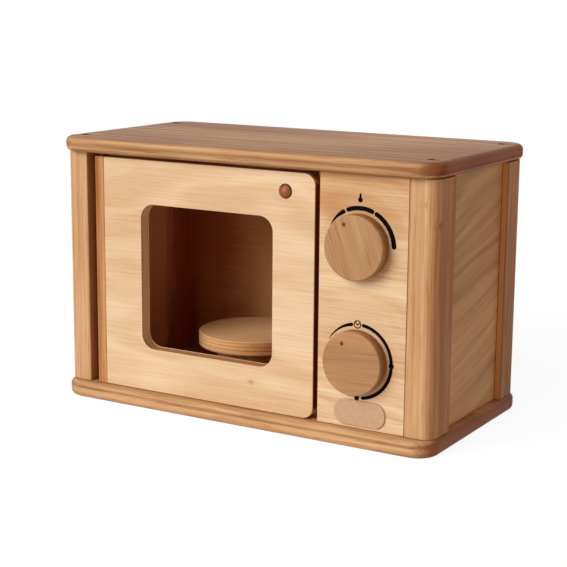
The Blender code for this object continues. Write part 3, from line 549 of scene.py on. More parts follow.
WOODS = {
    "lid_wood": Grain(
        "board", LENGTHWAYS, (0.3, 0.03, -0.16), 0.0042, 0.006, rings=0.34, streaks=0.15, fibres=0.22,
        # Painted shade: the faces that look up or down are darker, and the right end takes part of the shaded
        # inside tones
        pores=0.2, ends=1.1, flats=((UPRIGHT, 0.3),), shaded_way=(0.42, 0, 0),
        marks=(
            level_streak(LID_TOP - 0.0052, 0.0012, 0.15),
            level_streak(LID_TOP - 0.0085, 0.0012, -0.45),
            level_streak(LID_TOP - 0.0020, 0.0010, -0.15),
            level_streak(LID_TOP, WIDE, 0.15, 0.05),
            level_streak(LID_TOP - 0.0050, 0.0008, -0.4, 0.012),
            level_streak(LID_TOP - 0.0080, 0.0009, 0.9, 0.012),
            level_streak(LID_TOP - 0.0096, 0.0005, -0.7, 0.012),
            # Painted shade in the four screw recesses
            *(recess_shade_mark(corner) for corner in CORNERS),
        ),
    ),
    "base_wood": Grain(
        "board", LENGTHWAYS, (0.7, 0.05, 0.14), 0.0042, 0.006, rings=0.22, streaks=0.12, fibres=0.28,
        # Painted shade: the right end takes part of the shaded inside tones
        pores=0.3, ends=0.6, flats=((DEPTHWAYS, 0.1),), shaded_way=(0.42, 0, 0),
        marks=(
            level_streak(0.0085, 0.0012, 0.15),
            level_streak(0.0055, 0.0014, -0.1),
            # Painted shade on the oven floor towards the left and back
            Mark((-0.1, 0.02, BASE_TOP), (0.045, 0.06, 0.003), 1.3),
        ),
    ),
    "post_wood_front_left": Grain(
        "post", UPRIGHT, (0.1, 0.1, 0.23), 0.003, 0.005, rings=0.42, streaks=0.25, fibres=0.35,
        # Painted shade on the post's inner face, deepening away from the front, beside the stile
        marks=(upright_streak(LEFT_POST_X, FRONT_Y + 0.015, 0.004, 0.0085, 1.8),),
    ),
    "post_wood_front_right": Grain(
        "post", UPRIGHT, (0.5, 0.13, -0.06), 0.0034, 0.009, rings=0.36, streaks=0.15, fibres=0.35,
        # Painted shade: the right side is darker and takes part of the shaded inside tones
        tone=0.3, flats=((LENGTHWAYS, 0.25),), shaded_way=(0.4, 0, 0),
        marks=(
            # Painted shade on the rounded outer front corner; the two marks after it are knots
            upright_streak(RIGHT_POST_X - 0.0023, FRONT_Y + 0.00075, 0.0035, 0.0035, 0.25),
            Mark((RIGHT_POST_X - 0.0098, FRONT_Y, 0.1764), (0.0026, 0.006, 0.003), 0.35, 0.002),
            Mark((RIGHT_POST_X - 0.0011, FRONT_Y + 0.00425, 0.162), (0.004, 0.004, 0.003), 0.35, 0.002),
        ),
    ),
    "post_wood_rear_left": Grain(
        # Painted shade: the faces towards the oven take the shaded inside tones, and the inner face is darker
        # still
        "post", UPRIGHT, (0.9, -0.02, 0.23), 0.003, rings=0.3, shaded_way=(0.8, -0.8, 0),
        marks=(upright_streak(LEFT_POST_X, 0.05, 0.008, 0.03, 1.0),),
    ),
    "post_wood_rear_right": Grain(
        # Painted shade: this post takes a darker, redder copy of the post tones
        "rear_post", UPRIGHT, (1.3, -0.1, -0.05), 0.003, rings=0.3,
        # Painted light on the faces that look forward or back, painted shade on the right side
        flats=((DEPTHWAYS, -0.9), (LENGTHWAYS, 0.25)),
        marks=(
            # Painted shade in the corner where the side panel meets the post, and darker along the post's
            # outer front edge
            upright_streak(SIDE_X, REAR_POST_Y, 0.0006, 0.002, 2.2),
            upright_streak(RIGHT_POST_X, REAR_POST_Y, 0.0007, 0.0014, 1.3),
        ),
    ),
    "door_ply": Grain(
        "ply", LENGTHWAYS, (0.0, 0.4, -0.1), 0.009, 0.05, rings=0.26, streaks=0.1, fibres=0.22,
        # Painted shade: the faces that look up or down are darker, and the faces to the right take part of
        # the shaded inside tones
        tone=0.3, pores=0.15, ends=0.0, flats=((UPRIGHT, 0.95),), shaded_way=(0.4, 0, 0),
        marks=(
            Mark((0.0119, FRONT_Y, 0.0337), (0.0026, 0.006, 0.0016), 0.5, 0.003),
            # Painted shadow on the door's right edge, in the gap beside the control panel
            upright_streak(DOOR_HIGH.x + 0.0004, FRONT_Y + 0.003, 0.0006, 0.0042, 4.1),
            Mark((-0.0655, FRONT_Y, 0.03), (0.03, 0.02, 0.009), -0.2, 0.006),
            # Painted light on the window's left jamb
            upright_streak(-0.0871, FRONT_Y + 0.006, 0.004, 0.0032, -0.8),
            # Painted shade on the door's top right corner, in the gap
            Mark((DOOR_HIGH.x - 0.001, FRONT_Y + 0.0055, DOOR_HIGH.z - 0.001), (0.005, 0.0026, 0.005), 1.8),
        ),
    ),
    "control_ply": Grain(
        "ply", LENGTHWAYS, (0.4, 0.35, -0.16), 0.005, 0.04, rings=0.45, streaks=0.2, fibres=0.28,
        tone=0.35, pores=0.15,
        marks=(
            Mark((0.076, FRONT_Y, 0.170), (0.012, 0.006, 0.014), 0.4),
            # Painted shadow of the top board along the panel's top
            Mark((0.105, FRONT_Y, 0.190), (0.050, 0.006, 0.006), 0.4),
            Mark((0.125, FRONT_Y, 0.133), (0.014, 0.006, 0.006), 0.3),
            Mark((0.074, FRONT_Y, 0.105), (0.012, 0.006, 0.010), 0.2),
        ),
    ),
    "side_ply": Grain(
        "side", (0, 0.97, 0.24), (0.2, 0.08, 0.3), 0.011, 0.05, rings=0.3, streaks=0.15, fibres=0.18,
        tone=0.25, pores=0.1,
        marks=(
            # Painted light towards the bottom of the side and painted shade near its top
            Mark((SIDE_X, 0, 0.04), (0.02, WIDE, 0.05), -0.3),
            Mark((SIDE_X, 0, 0.18), (0.02, WIDE, 0.05), 0.12),
        ),
    ),
    "inside_ply": Grain(
        "side", (0, 0.97, 0.26), (0.5, 0.4, 0.1), 0.009, 0.04, rings=0.2, streaks=0.08, fibres=0.15,
        # Painted shade: the faces that look to the right take the shaded inside tones
        pores=0.1, shaded_way=LENGTHWAYS,
        # Painted light on the left panel's inner face
        marks=(Mark((LEFT_INSIDE_X, 0, 0.1), (0.0022, 0.2, 0.3), -0.75),),
    ),
    "rear_ply": Grain(
        "side", LENGTHWAYS, (0.9, 0.5, -0.1), 0.007, 0.05, rings=0.2, streaks=0.08, fibres=0.2,
        # Painted shade: the face towards the oven takes the shaded inside tones
        pores=0.1, shaded_way=(0, -1, 0),
        marks=(
            # Painted shade on the left of the back wall inside, painted light towards its right
            upright_streak(-0.125, REAR_INSIDE_Y, 0.035, 0.0022, 0.8),
            Mark((-0.03, REAR_INSIDE_Y, 0.075), (0.045, 0.0022, 0.08), -1.3),
        ),
    ),
    "stile_wood": Grain(
        "stile", UPRIGHT, (0.2, 0.09, 0.21), 0.0024, rings=0.3, streaks=0.15,
        marks=(
            # Painted shadow of the post along the stile's left, painted light along its right
            upright_streak(-0.1278, FRONT_Y, 0.0018, 0.02, 0.45),
            upright_streak(-0.1232, FRONT_Y, 0.0018, 0.02, -0.4),
        ),
    ),
    "knob_wood_upper": Grain(
        "knob", (-0.36, 0, 1), (0.1, 0.06, -0.07), 0.004, 0.008, rings=0.17, streaks=0.06,
        fibres=0.35, tone=0.25, pores=0.2, ends=0.2,
        marks=(
            # Painted shade on the knob's rim, darker towards its back
            Mark((KNOB_MIDDLE.x, KNOB_HIGH.y, 0.14), (0.2, 0.0055, 0.2), 0.8),
            Mark((KNOB_MIDDLE.x + 0.012, KNOB_LOW.y, 0.136), (0.0045, 0.003, 0.012), 0.2),
        ),
    ),
    "knob_wood_lower": Grain(
        "knob", (1, 0, 0.05), (0.4, 0.16, -0.04), 0.005, 0.008, rings=0.16, streaks=0.08,
        fibres=0.25, tone=0.2, pores=0.2, ends=0.1,
        # Painted shade on the knob's rim, darker towards its back
        marks=(Mark((KNOB_MIDDLE.x, KNOB_HIGH.y, 0.06), (0.2, 0.0055, 0.2), 0.8),),
    ),
    "dowel_wood": Grain("post", DEPTHWAYS, (0.1, 0.02, 0.02), 0.003),
    "disc_ply": Grain(
        "disc", LENGTHWAYS, (0.3, 0.02, 0.3), 0.006, 0.03, rings=0.28, streaks=0.15, fibres=0.32,
        # Painted light: the faces that look up or down are lighter
        tone=0.25, pores=0.1, ends=0.1, flats=((UPRIGHT, -0.25),),
        # Painted shade on the rim towards the front right
        marks=(Mark((0.02, -0.04, DISC_TOP - 0.006), (0.032, 0.032, 0.006), 1.5),),
        plies=Plies(DISC_TOP + 0.002, 0.003, 0.1, 0.8),
    ),
    "hub_wood": Grain("stile", UPRIGHT, (0.6, 0.08, 0.03), 0.003, rings=0.15, streaks=0.1),
    "plug_wood": Grain(
        "plug", (0, 1, 0.1), (0.1, 0.01, -0.175), 0.0011, 0.001, rings=0.8, ends=0.0,
        # Painted shade: the dome darkens towards its rim, where its faces turn up, down and sideways
        flats=((UPRIGHT, 1.2), (LENGTHWAYS, 1.2)), roughness=0.3, gloss=0.2,
        # Painted highlight on the dome
        marks=(Mark(PLUG_GLINT, (0.0018, 0.01, 0.0018), -0.9),),
    ),
}

# Each paint's roughness and gloss, and each metal's roughness
PAINTS = {
    "print_ink": (0.6, 0.03),
    "dot_paint": (0.5, 0.15),
    "badge": (0.4, 0.3),
    "badge_shadow_line": (0.6, 0.08),
}
METALS = {"bronzed_steel": 0.32, "shade_darkened_pin_steel": 0.6, "bright_steel": 0.28}


def finish(name):
    """A material by name, made the first time that it is asked for."""
    label = "dressed_" + name
    made = bpy.data.materials.get(label)
    if made:
        return made
    if name in WOODS:
        return wood(label, WOODS[name])
    colour = getattr(colours(), name)
    if name in PAINTS:
        return paint(label, colour, *PAINTS[name])
    return metal(label, colour, METALS[name])


def repaint(material, *nodes):
    """Gives built parts their finish."""
    for node in nodes:
        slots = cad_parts[node].data.materials
        slots.clear()
        slots.append(finish(material))


def rounded(corners, steps):
    """An outline whose corners, given as (u, v, radius), are rounded by arcs of that radius."""
    points = []
    count = len(corners)
    for index, (u, v, radius) in enumerate(corners):
        corner = Vector((u, v))
        if radius == 0:
            points.append(corner)
            continue
        back = (Vector(corners[index - 1][:2]) - corner).normalized()
        ahead = (Vector(corners[(index + 1) % count][:2]) - corner).normalized()
        half = back.angle(ahead) / 2
        centre = corner + (back + ahead).normalized() * radius / math.sin(half)
        start = corner + back * radius / math.tan(half) - centre
        end = corner + ahead * radius / math.tan(half) - centre
        first = math.atan2(start.y, start.x)
        turn = math.remainder(math.atan2(end.y, end.x) - first, math.tau)
        for step in range(steps + 1):
            angle = first + turn * step / steps
            points.append(centre + Vector((math.cos(angle), math.sin(angle))) * radius)
    return points


def rectangle(low, high, radii, inset=0):
    """A rectangle's outline, moved in by an inset that its corners' four radii lose.

    A negative inset moves the sides in as well but adds to the radii, as at the lips of an opening.
    """
    shift = Vector((abs(inset), abs(inset)))
    (low_u, low_v), (high_u, high_v) = low + shift, high - shift
    places = ((low_u, low_v), (high_u, low_v), (high_u, high_v), (low_u, high_v))
    corners = [(u, v, max(radius - inset, 0) if radius else 0) for (u, v), radius in zip(places, radii)]
    return rounded(corners, CORNER_STEPS)


def circle(u, v, radius, inset=0, steps=SMALL_TURN_STEPS):
    """A circle's outline at an inset."""
    reach = radius - inset
    turns = [math.tau * step / steps for step in range(steps)]
    return [Vector((u + reach * math.cos(turn), v + reach * math.sin(turn))) for turn in turns]


def loop_at(points, axis, level):
    """An outline's points, set at a level along an axis."""
    return [Vector((*point[:axis], level, *point[axis:])) for point in points]


def wall_between(points, axis, *levels):
    """The loops of a wall that goes straight from level to level."""
    return [loop_at(points, axis, level) for level in levels]


def quarter_round(radius, steps):
    """(inset, depth) pairs of a rounded edge, from its face down to its side."""
    turns = [math.pi / 2 * step / steps for step in range(steps + 1)]
    return [(radius * (1 - math.sin(turn)), radius * (1 - math.cos(turn))) for turn in turns]


def plate_wall(outline, axis, first, last, edge, steps=ARRIS_STEPS, side=1):
    """The loops of a plate's wall from one face to the other with rounded edges; side is -1 in an opening."""
    way = math.copysign(1, last - first)
    near = quarter_round(edge, steps)
    profile = [(inset, first + depth * way) for inset, depth in near]
    profile += [(inset, last - depth * way) for inset, depth in reversed(near)]
    return [loop_at(outline(inset=inset * side), axis, level) for inset, level in profile]


def add_band(mesh, loops):
    """Joins closed loops of points by a band of faces, and returns the edges of the first and the last.

    Each loop has as many points as the others, or only one where the band closes.
    """
    rows = [[mesh.verts.new(point) for point in loop] for loop in loops]
    for near, far in zip(rows, rows[1:]):
        for index in range(max(len(near), len(far))):
            corners = ((near, index), (near, index + 1), (far, index + 1), (far, index))
            mesh.faces.new(dict.fromkeys(row[place % len(row)] for row, place in corners))
    ends = []
    for row in (rows[0], rows[-1]):
        pairs = zip(row, row[1:] + row[:1]) if len(row) > 1 else ()
        ends.append([mesh.edges.get(pair) for pair in pairs])
    return ends


def add_plate(mesh, *walls):
    """A flat plate of its outer wall and the walls of its holes, with its two faces closed between them."""
    for rims in zip(*[add_band(mesh, wall) for wall in walls]):
        edges = [edge for rim in rims for edge in rim]
        bmesh.ops.triangle_fill(mesh, edges=edges, use_beauty=True)


def plate(*walls):
    """A mesh of one flat plate."""
    mesh = bmesh.new()
    add_plate(mesh, *walls)
    return mesh


def turned(corners, centre, axis, steps=TURN_STEPS, bend=ARRIS_STEPS):
    """A mesh of a closed profile of (radius, level, rounding) corners, turned round an axis."""
    u, v = [part for index, part in enumerate(centre) if index != axis]
    loops = []
    for radius, level in rounded(corners, bend):
        points = [(u, v)] if radius < SAME_PLACE else circle(u, v, radius, steps=steps)
        loops.append(loop_at(points, axis, level))
    if len(loops[0]) > 1:
        loops.append(loops[0])
    mesh = bmesh.new()
    add_band(mesh, loops)
    bmesh.ops.remove_doubles(mesh, verts=mesh.verts, dist=SAME_PLACE)
    return mesh


def place_piece(name, mesh, material, body, stands_for=()):
    """Makes a piece of a mesh, gives it its finish and lets it ride on its body."""
    bmesh.ops.recalc_face_normals(mesh, faces=mesh.faces)
    data = bpy.data.meshes.new(name)
    mesh.to_mesh(data)
    mesh.free()
    data.shade_smooth()
    data.set_sharp_from_angle(angle=SMOOTH_ANGLE)
    data.materials.append(finish(material))
    piece = bpy.data.objects.new(name, data)
    bpy.context.scene.collection.objects.link(piece)
    shading = piece.modifiers.new("flat faces stay flat", "WEIGHTED_NORMAL")
    shading.keep_sharp = True
    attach(piece, body)
    if stands_for:
        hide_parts(*stands_for)


def dress_node(node, mesh, material, body):
    """Places a finer mesh of a built part over it."""
    place_piece(node + "_dressed", mesh, material, body, [node])


def pin_bore(where, mouth, way):
    """The loops of a hinge pin's blind bore, from its closed end to its mouth; it goes up where way is 1."""
    low, high, middle, radius = round_node("hinge_pin_" + where)
    gap = sizes().fit_gap
    floor = high.z + gap if way > 0 else low.z - gap
    hole = circle(*middle.xy, radius + gap)
    return [loop_at([middle.xy], Z_AXIS, floor), *wall_between(hole, Z_AXIS, floor, mouth)]


def stepped_hole(middle, wide_radius, narrow_radius, outside, recess, inside):
    """The loops of a hole from a board's outside down its recess and through."""
    wide = circle(*middle.xy, wide_radius)
    narrow = circle(*middle.xy, narrow_radius)
    return wall_between(wide, Z_AXIS, outside, recess) + wall_between(narrow, Z_AXIS, recess, inside)


class Step:
    """What the operators share."""

    bl_options = {"REGISTER", "UNDO"}


class MICROWAVE_OT_boards(Step, bpy.types.Operator):
    """Make the top and bottom boards with their rounded edges, screw holes and hinge bores"""

    bl_idname = "microwave.boards"
    bl_label = "Boards"

    RECESS_RADIUS = 0.0045
    RECESS_DEPTH = 0.0032
    SHANK_RADIUS = 0.0023
    KEEPER_RECESS_RADIUS = 0.0095
    KEEPER_RECESS_DEPTH = 0.0045

    def execute(self, context):
        low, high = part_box("bottom_board")
        self.board("base_board", "bottom", "base_wood", low.z, high.z, [self.pivot_hole(low.z, high.z)])
        low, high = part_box("top_board")
        self.board("lid_board", "top", "lid_wood", high.z, low.z, [])
        return {"FINISHED"}

    def board(self, name, where, material, outside, inside, holes):
        """One board, recessed for its screws on the outside and bored for a hinge pin on the inside."""
        setting = sizes()
        low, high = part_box(where + "_board")
        inwards = math.copysign(1, inside - outside)
        outline = partial(rectangle, low.xy, high.xy, [setting.board_corner] * 4)
        walls = [plate_wall(outline, Z_AXIS, outside, inside, setting.board_edge, EDGE_STEPS), *holes]
        levels = (outside, outside + self.RECESS_DEPTH * inwards, inside)
        for corner in CORNERS:
            middle = round_node(f"{where}_screw_{corner}")[2]
            walls.append(stepped_hole(middle, self.RECESS_RADIUS, self.SHANK_RADIUS, *levels))
        walls.append(pin_bore(where, inside, -inwards))
        place_piece(name, plate(*walls), material, "cabinet", [where + "_board"])

    def pivot_hole(self, outside, inside):
        """The hole for the turntable's dowel, with the recess for its washer."""
        _, _, middle, radius = round_node("turntable_pivot")
        levels = (outside, outside + self.KEEPER_RECESS_DEPTH, inside)
        return stepped_hole(middle, self.KEEPER_RECESS_RADIUS, radius + sizes().fit_gap, *levels)


class MICROWAVE_OT_posts(Step, bpy.types.Operator):
    """Make the four corner posts, round outside and grooved for the panels"""

    bl_idname = "microwave.posts"
    bl_label = "Corner posts"

    def execute(self, context):
        for corner, (across, back) in CORNERS.items():
            node = "post_" + corner
            low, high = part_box(node)
            points = self.outline(across, back, low, high)
            mesh = plate(wall_between(points, Z_AXIS, low.z, high.z))
            dress_node(node, mesh, "post_wood_" + corner, "cabinet")
        return {"FINISHED"}

    def outline(self, across, back, low, high):
        """The section of one post, drawn for the quarter where X and Y are positive and then mirrored."""
        setting = sizes()
        gap = setting.fit_gap
        inner_x, outer_x = sorted((abs(low.x), abs(high.x)))
        inner_y, outer_y = sorted((abs(low.y), abs(high.y)))
        side_low, side_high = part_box("side_panel_right")
        groove_low = side_low.x - gap
        groove_high = side_high.x + gap
        groove_end = side_high.y + gap
        corners = [
            (inner_x, inner_y, setting.post_arris),
            (groove_low, inner_y, 0),
            (groove_low, groove_end, 0),
            (groove_high, groove_end, 0),
            (groove_high, inner_y, 0),
            (outer_x, inner_y, setting.post_arris),
            (outer_x, outer_y, setting.post_corner),
            (inner_x, outer_y, setting.post_arris),
        ]
        if back > 0:
            rear_low, rear_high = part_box("rear_panel")
            corners[-1] = (inner_x, outer_y, 0)
            corners += [
                (inner_x, rear_high.y + gap, 0),
                (rear_high.x + gap, rear_high.y + gap, 0),
                (rear_high.x + gap, rear_low.y - gap, 0),
                (inner_x, rear_low.y - gap, 0),
            ]
        return [(u * across, v * back) for u, v in rounded(corners, CORNER_STEPS)]


class MICROWAVE_OT_thin_panels(Step, bpy.types.Operator):
    """Finish the thin plywood sides, the back and the divider"""

    bl_idname = "microwave.thin_panels"
    bl_label = "Thin panels"

    def execute(self, context):
        repaint("inside_ply", "side_panel_left", "divider_panel")
        repaint("side_ply", "side_panel_right")
        repaint("rear_ply", "rear_panel")
        return {"FINISHED"}


def add_print(mesh, *outlines):
    """Lays a flat printed shape on the control panel: its outline of (x, z) points, then its openings'."""
    coat = sizes().coat
    add_plate(mesh, *[wall_between(points, Y_AXIS, FRONT_Y + coat, FRONT_Y - coat) for points in outlines])


def add_stroke(mesh, points, widths):
    """A printed line along points, with a width at each and round ends."""
    there = []
    for index, (point, width) in enumerate(zip(points, widths)):
        ahead = points[min(index + 1, len(points) - 1)] - points[max(index - 1, 0)]
        there.append((point, Vector((-ahead.y, ahead.x)).normalized() * width / 2))
    back = [(point, -side) for point, side in reversed(there)]
    outline = []
    for line in (there, back):
        outline += [point + side for point, side in line]
        end, spoke = line[-1]
        for step in range(1, CAP_STEPS):
            outline.append(end + Matrix.Rotation(-math.pi * step / CAP_STEPS, 2) @ spoke)
    add_print(mesh, outline)


class MICROWAVE_OT_control_panel(Step, bpy.types.Operator):
    """Finish the control panel and print the two dial scales on it"""

    bl_idname = "microwave.control_panel"
    bl_label = "Control panel and print"

    # Widths of the printed lines
    TIP = 0.0004
    HAND = 0.0008
    THIN = 0.0025
    MIDDLE = 0.0032
    THICK = 0.0036
    # Each scale's arcs: where they start and end, in degrees from 3 o'clock, and their widths there
    UPPER_ARCS = ((150, 119.5, TIP, MIDDLE), (110.5, 69.5, MIDDLE, MIDDLE), (61.5, 4.5, MIDDLE, THICK))
    LOWER_ARCS = ((149, 101, TIP, THIN), (81, 3, THIN, THIN), (-6, -80, THIN, THIN))
    ARC_STEPS = 28

    DOT_ANGLES = (0, -90)
    DOT_RADIUS = 0.0020
    # The thermometer mark: heights above the knob's middle, with the stem's widths there
    BULB_RISE = 0.032237
    BULB_RADIUS = 0.0018
    STEM_ENDS = ((0.032737, 0.0018), (0.036137, 0.0014))
    # The clock mark, and where its hands end beside and above their joint
    CLOCK_ANGLE = 91
    CLOCK_RADIUS = 0.0030
    CLOCK_DROP = 0.0005
    CLOCK_HANDS = ((-0.0014, 0.0016), (0.0014, 0.0014))

    def execute(self, context):
        repaint("control_ply", "control_panel")
        self.upper_scale()
        self.lower_scale()
        return {"FINISHED"}

    def on_scale(self, middle, degrees):
        """A point on the middle line of the scale round a knob."""
        turn = math.radians(degrees)
        return middle + Vector((math.cos(turn), math.sin(turn))) * sizes().scale_radius

    def add_arcs(self, mesh, middle, arcs):
        """The printed arcs round a knob."""
        shares = [step / self.ARC_STEPS for step in range(self.ARC_STEPS + 1)]
        for start, end, first, last in arcs:
            points = [self.on_scale(middle, start + (end - start) * share) for share in shares]
            add_stroke(mesh, points, [first + (last - first) * share for share in shares])

    def upper_scale(self):
        """A broken arc that swells clockwise, under a plain thermometer mark."""
        middle = round_node("knob_upper")[2].xz
        mesh = bmesh.new()
        self.add_arcs(mesh, middle, self.UPPER_ARCS)
        stem = [middle + Vector((0, rise)) for rise, _ in self.STEM_ENDS]
        add_stroke(mesh, stem, [width for _, width in self.STEM_ENDS])
        add_print(mesh, circle(middle.x, middle.y + self.BULB_RISE, self.BULB_RADIUS))
        place_piece("scale_upper_print", mesh, "print_ink", "cabinet")

    def lower_scale(self):
        """A broken ring with two dots, from a tapered start past a plain clock mark."""
        middle = round_node("knob_lower")[2].xz
        mesh = bmesh.new()
        self.add_arcs(mesh, middle, self.LOWER_ARCS)
        for degrees in self.DOT_ANGLES:
            add_print(mesh, circle(*self.on_scale(middle, degrees), self.DOT_RADIUS))
        clock = self.on_scale(middle, self.CLOCK_ANGLE)
        add_print(mesh, *[circle(*clock, self.CLOCK_RADIUS, inset) for inset in (0, self.HAND)])
        joint = clock - Vector((0, self.CLOCK_DROP))
        for hand in self.CLOCK_HANDS:
            add_stroke(mesh, [joint, joint + Vector(hand)], [self.HAND, self.HAND])
        place_piece("scale_lower_print", mesh, "print_ink", "cabinet")


class MICROWAVE_OT_badge(Step, bpy.types.Operator):
    """Make the bare, round-ended badge plate under the lower dial and the painted shadow line behind it"""

    bl_idname = "microwave.badge"
    bl_label = "Badge plate"

    CENTRE = Vector((0.1022, 0.0243))
    # The plate's corner radius as a share of its height
    CORNER_SHARE = 0.47
    # How far inside the plate's outline the painted shadow line behind it ends
    PRINT_MARGIN = 0.0007

    def execute(self, context):
        setting = sizes()
        half = Vector((setting.badge_width, setting.badge_height)) / 2
        radii = [setting.badge_height * self.CORNER_SHARE] * 4
        outline = partial(rectangle, self.CENTRE - half, self.CENTRE + half, radii)
        face = FRONT_Y - setting.badge_thickness
        edge = quarter_round(setting.badge_edge, EDGE_STEPS)
        profile = [(inset, face + depth) for inset, depth in edge] + [(0, FRONT_Y + setting.coat)]
        wall = [loop_at(outline(inset=inset), Y_AXIS, level) for inset, level in profile]
        place_piece("badge_plate", plate(wall), "badge", "cabinet")
        # Painted shadow: a brown line laid just behind the plate
        mesh = bmesh.new()
        add_print(mesh, outline(inset=-self.PRINT_MARGIN))
        place_piece("badge_shadow_line", mesh, "badge_shadow_line", "cabinet")
        return {"FINISHED"}


class MICROWAVE_OT_door(Step, bpy.types.Operator):
    """Make the door with its round-cornered window and its stile, and finish the hinge pins"""

    bl_idname = "microwave.door"
    bl_label = "Door"

    def execute(self, context):
        self.panel()
        self.glue_line()
        self.stile()
        # Painted shade: the pins take the darkened steel
        repaint("shade_darkened_pin_steel", "hinge_pin_top", "hinge_pin_bottom")
        return {"FINISHED"}

    def panel(self):
        """The plywood panel, square where it meets the stile."""
        setting = sizes()
        low, high = DOOR_LOW, DOOR_HIGH
        corner = setting.door_corner
        outline = partial(rectangle, low.xz, high.xz, [0, corner, corner, 0])
        frame_width = Vector((setting.window_margin, setting.window_rail))
        radii = [setting.window_corner] * 4
        window = partial(rectangle, low.xz + frame_width, high.xz - frame_width, radii)
        _, _, middle, radius = round_node("door_plug")
        bore = partial(circle, middle.x, middle.z, radius + setting.fit_gap)
        walls = [
            plate_wall(hole, Y_AXIS, low.y, high.y, setting.door_arris, side=side)
            for hole, side in ((outline, 1), (window, -1), (bore, -1))
        ]
        dress_node("door_panel", plate(*walls), "door_ply", "door")

    def glue_line(self):
        """The glued joint that closes the gap between the panel and the stile."""
        inset = sizes().fit_gap
        low, high = DOOR_LOW, DOOR_HIGH
        left = Vector((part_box("door_stile")[1].x, low.z + inset))
        points = rectangle(left, Vector((low.x, high.z - inset)), [0] * 4)
        mesh = plate(wall_between(points, Y_AXIS, low.y + inset, high.y - inset))
        place_piece("door_glue_line", mesh, "stile_wood", "door")

    def stile(self):
        """The solid strip at the hinge side, bored at both ends for the pins."""
        low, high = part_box("door_stile")
        edge = sizes().stile_edge
        corners = [(low.x, low.y, edge), (high.x, low.y, 0), (high.x, high.y, 0), (low.x, high.y, edge)]
        points = rounded(corners, EDGE_STEPS)
        wall = wall_between(points, Z_AXIS, low.z, high.z)
        lower_bore = pin_bore("bottom", low.z, 1)[::-1]
        upper_bore = pin_bore("top", high.z, -1)
        dress_node("door_stile", plate(wall, lower_bore, upper_bore), "stile_wood", "door")


class MICROWAVE_OT_catch(Step, bpy.types.Operator):
    """Make the domed plug in the door, and finish the magnets and the block that stops the door"""

    bl_idname = "microwave.catch"
    bl_label = "Door catch"

    def execute(self, context):
        low, high, middle, radius = round_node("door_plug")
        rise = sizes().plug_dome
        corners = [(0, high.y, 0), (radius, high.y, 0)]
        for step in range(EDGE_STEPS):
            turn = math.pi / 2 * step / EDGE_STEPS
            corners.append((radius * math.cos(turn), low.y + rise - rise * math.sin(turn), 0))
        corners.append((0, low.y, 0))
        mesh = turned(corners, middle, Y_AXIS, SMALL_TURN_STEPS)
        dress_node("door_plug", mesh, "plug_wood", "door")
        repaint("bright_steel", "door_magnet", "catch_magnet")
        repaint("dowel_wood", "catch_block")
        return {"FINISHED"}


class MICROWAVE_OT_dials(Step, bpy.types.Operator):
    """Make the two knobs and their red dots, and finish the spindles and collars"""

    bl_idname = "microwave.dials"
    bl_label = "Dials"

    # How far each knob's dot lies to the side of its middle and above it
    DOT_PLACES = {"lower": (-0.0074, 0.0140), "upper": (-0.0074, 0.0159)}

    def execute(self, context):
        for which in self.DOT_PLACES:
            self.knob(which)
            repaint("dowel_wood", "spindle_" + which, "collar_" + which)
        return {"FINISHED"}

    def knob(self, which):
        """One knob, bored behind for its spindle, and its dot."""
        setting = sizes()
        low, high, middle, radius = round_node("knob_" + which)
        bore = round_node("spindle_" + which)[3] + setting.fit_gap
        face = low.y + setting.coat
        floor = high.y - setting.knob_grip
        corners = [
            (0, face, 0),
            (radius, face, setting.knob_edge),
            (radius, high.y, setting.knob_back_edge),
            (bore, high.y, 0),
            (bore, floor, 0),
            (0, floor, 0),
        ]
        mesh = turned(corners, middle, Y_AXIS, bend=EDGE_STEPS)
        dress_node("knob_" + which, mesh, "knob_wood_" + which, "dial_" + which)
        across, up = self.DOT_PLACES[which]
        corners = [
            (0, low.y, 0),
            (setting.dot_radius, low.y, setting.coat / 2),
            (setting.dot_radius, face + setting.coat, 0),
            (0, face + setting.coat, 0),
        ]
        mesh = turned(corners, middle + Vector((across, 0, up)), Y_AXIS, SMALL_TURN_STEPS)
        place_piece(f"knob_{which}_dot", mesh, "dot_paint", "dial_" + which)


class MICROWAVE_OT_turntable(Step, bpy.types.Operator):
    """Make the plywood turntable and its hub, and finish the dowel, washer and screw that keep it"""

    bl_idname = "microwave.turntable"
    bl_label = "Turntable"

    def execute(self, context):
        setting = sizes()
        bore = round_node("turntable_pivot")[3] + setting.fit_gap
        low, high, middle, radius = round_node("turntable_disc")
        corners = [
            (0, high.z, 0),
            (radius, high.z, setting.disc_edge),
            (radius, low.z, setting.disc_edge),
            (bore, low.z, 0),
            (bore, low.z + setting.disc_bore, 0),
            (0, low.z + setting.disc_bore, 0),
        ]
        mesh = turned(corners, middle, Z_AXIS, bend=EDGE_STEPS)
        dress_node("turntable_disc", mesh, "disc_ply", "turntable")
        low, high, middle, radius = round_node("turntable_hub")
        rim = (radius, high.z, setting.hub_edge)
        corners = [(bore, low.z, 0), (radius, low.z, 0), rim, (bore, high.z, 0)]
        dress_node("turntable_hub", turned(corners, middle, Z_AXIS), "hub_wood", "cabinet")
        repaint("hub_wood", "turntable_pivot")
        repaint("bright_steel", "turntable_washer", "turntable_screw")
        return {"FINISHED"}


